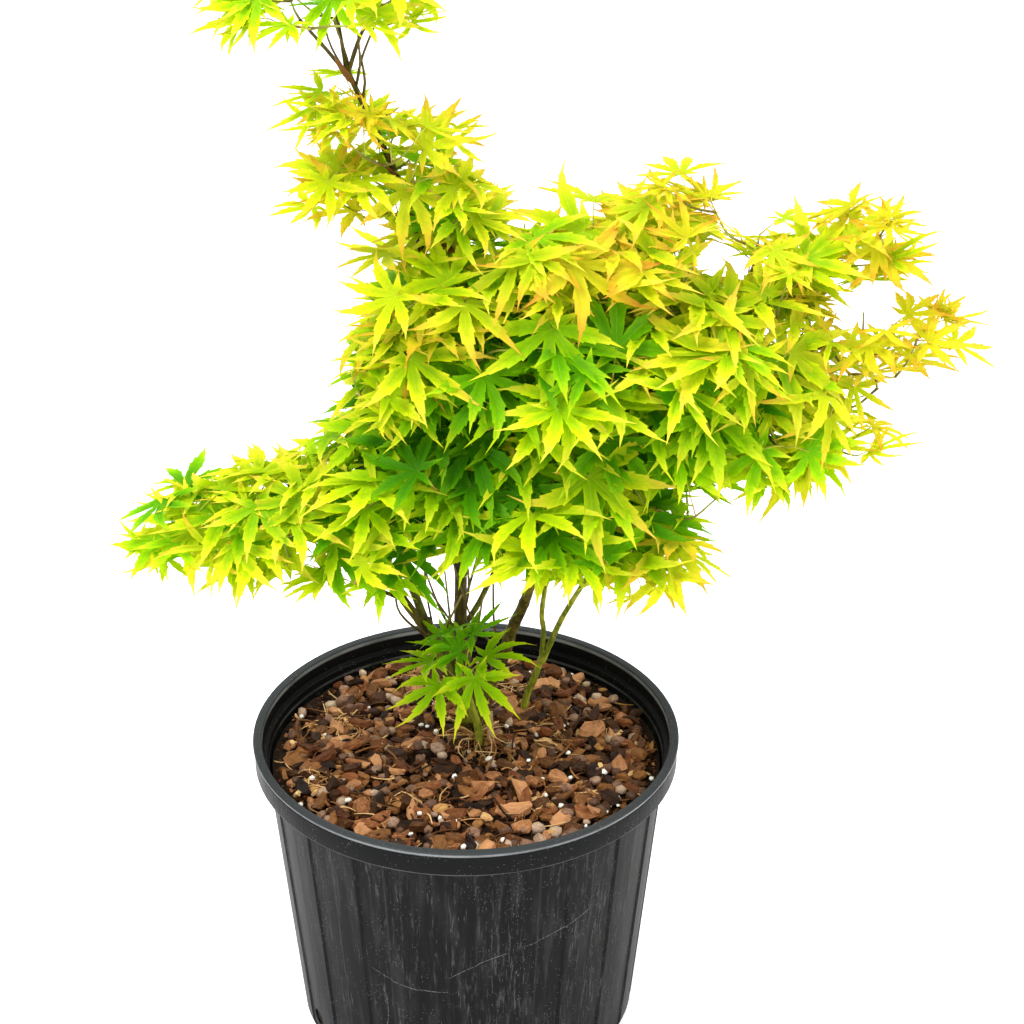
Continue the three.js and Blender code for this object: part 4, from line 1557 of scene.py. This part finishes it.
def bract_heap(rng):
    """Dry bracts, each a curled boat-shaped scale."""
    heap = Heap()
    rows = np.linspace(0, 1, 6)
    columns = (-1.0, -0.5, 0.0, 0.5, 1.0)
    width = len(columns)
    for place, way in BRACTS:
        length = np.linalg.norm(way) * 1.3 * MM
        forward = unit(np.array(way, float))
        side = unit(np.cross(forward, UP))
        normal = np.cross(side, forward)
        points, faces = [], []
        for along in rows:
            half = 0.26 * length * math.sin(math.pi * min(1.0, 0.12 + along * 0.88)) ** 0.8
            for turn in columns:
                curl = turn * 1.1
                aside = side * half * math.sin(curl) + normal * half * (1 - math.cos(curl))
                points.append(np.array(place) * MM + forward * along * length + aside
                              + normal * 0.35 * length * along ** 2)
        for row in range(len(rows) - 1):
            for column in range(width - 1):
                corner = row * width + column
                faces.append((corner, corner + 1, corner + width + 1, corner + width))
        heap.add(np.array(points), faces, rng.uniform(0, 1))
    return heap


class MAPLE_OT_leaves(Operator):
    """Grow the crown: boughs, shoots, leaf stalks and leaves, each kind joined"""

    bl_idname = "maple.leaves"
    bl_label = "Leaves and Twigs"

    def execute(self, context):
        growth = Growth(context.scene.maple_plant)
        masses = [BASAL_MASS, *(MASS + spray[0] for spray in SPRAYS)]
        settle(growth.twigs.build("twigs", twig_material()), "brown_bark", *masses)
        stalks = chip_material("leaf_stalks", (
            (0.0, (0.42, 0.50, 0.05)), (0.6, (0.55, 0.52, 0.08)), (1.0, (0.50, 0.22, 0.07))), 0.45)
        settle(growth.stalks.build("leaf_stalks", stalks), "lime_leaves")
        dry = chip_material("bracts", ((0.0, (0.070, 0.026, 0.006)), (1.0, (0.24, 0.10, 0.02))), 0.7)
        settle(bract_heap(np.random.default_rng(growth.settings.seed)).build("bracts", dry), "dry_stem")
        for tint, heap in growth.leaves.items():
            if heap.count:
                piece = heap.build(f"leaves_{tint}", leaf_material(tint))
                settle(piece, TINTS[tint][3], *masses)
        return {"FINISHED"}


# ---------------------------------------------------------------- stage


# Each light: its name, place, size across in metres and power in watts.
LIGHTS = (
    ("top_light", (-0.2, 0.5, 2.9), 2.0, 65),
    ("key_light", (-1.3, -1.1, 2.6), 1.0, 58),
    ("right_light", (2.0, -0.3, 1.6), 1.2, 24),
)
PLANT_MIDDLE = Vector((0, 0, 0.35))
SENSOR_WIDTH = 36


def add_soft_light(name, place, size, power):
    """A white disc of light that faces the middle of the plant."""
    light = bpy.data.lights.new(name, "AREA")
    light.shape = "DISK"
    light.size = size
    light.energy = power
    lamp = add_object(name, light)
    lamp.location = place
    lamp.rotation_euler = (PLANT_MIDDLE - Vector(place)).to_track_quat("-Z", "Y").to_euler()


class MAPLE_OT_stage(Operator):
    """Lay the floor, hang the lights and set the camera"""

    bl_idname = "maple.stage"
    bl_label = "Floor, Light and Camera"

    def execute(self, context):
        stage = context.scene.maple_stage
        bpy.ops.object.select_all(action="DESELECT")
        bpy.ops.mesh.primitive_plane_add(size=stage.floor_size, location=(0, 0, 0))
        floor = context.object
        floor.name = "floor"
        shader = Shader("pale_floor", 0.9, 0.1)
        shade = shader.noise(shader.place(), 3.0, 2.0)
        tone = tuple(stage.floor_colour)
        shader.surface.inputs["Emission Color"].default_value = (1, 1, 1, 1)
        shader.surface.inputs["Emission Strength"].default_value = stage.floor_glow
        floor.data.materials.append(
            shader.finish(shader.blend(tone, tuple(c * 0.99 for c in tone), shade)))
        world = bpy.data.worlds.new("studio")
        world.use_nodes = True
        world.node_tree.nodes["Background"].inputs[0].default_value = (1, 1, 1, 1)
        world.node_tree.nodes["Background"].inputs[1].default_value = stage.sky
        context.scene.world = world
        for name, place, size, power in LIGHTS:
            add_soft_light(name, place, size, power)
        camera = bpy.data.cameras.new("camera")
        camera.lens = stage.lens
        camera.sensor_width = SENSOR_WIDTH
        view = add_object("camera", camera)
        view.location = stage.camera_place
        view.rotation_euler = (math.pi / 2 - stage.camera_pitch, 0, 0)
        context.scene.camera = view
        context.scene.view_settings.view_transform = "Standard"
        return {"FINISHED"}


# ---------------------------------------------------------------- panel and registration


STEPS = (MAPLE_OT_stage, MAPLE_OT_pot, MAPLE_OT_soil, MAPLE_OT_mulch, MAPLE_OT_limbs, MAPLE_OT_leaves)
SETTINGS = {
    "maple_pot": PotSettings,
    "maple_soil": SoilSettings,
    "maple_plant": PlantSettings,
    "maple_stage": StageSettings,
}


class VIEW3D_PT_maple(Panel):
    """Sizes, colours and steps of the potted maple"""

    bl_label = "Maple"
    bl_category = "Maple"
    bl_space_type = "VIEW_3D"
    bl_region_type = "UI"

    def draw(self, context):
        for name, settings in SETTINGS.items():
            box = self.layout.box()
            group = getattr(context.scene, name)
            for key in settings.__annotations__:
                box.prop(group, key)
        for step in STEPS:
            self.layout.operator(step.bl_idname)


def register():
    for settings in SETTINGS.values():
        bpy.utils.register_class(settings)
    for step in STEPS:
        bpy.utils.register_class(step)
    bpy.utils.register_class(VIEW3D_PT_maple)
    for name, settings in SETTINGS.items():
        setattr(bpy.types.Scene, name, PointerProperty(type=settings))


def unregister():
    for name in SETTINGS:
        delattr(bpy.types.Scene, name)
    for kind in (VIEW3D_PT_maple, *reversed(STEPS), *reversed(SETTINGS.values())):
        bpy.utils.unregister_class(kind)


def main():
    register()
    bpy.ops.maple.stage()
    bpy.ops.maple.pot()
    bpy.ops.maple.soil()
    bpy.ops.maple.mulch()
    bpy.ops.maple.limbs()
    bpy.ops.maple.leaves()


if __name__ == "__main__":
    main()
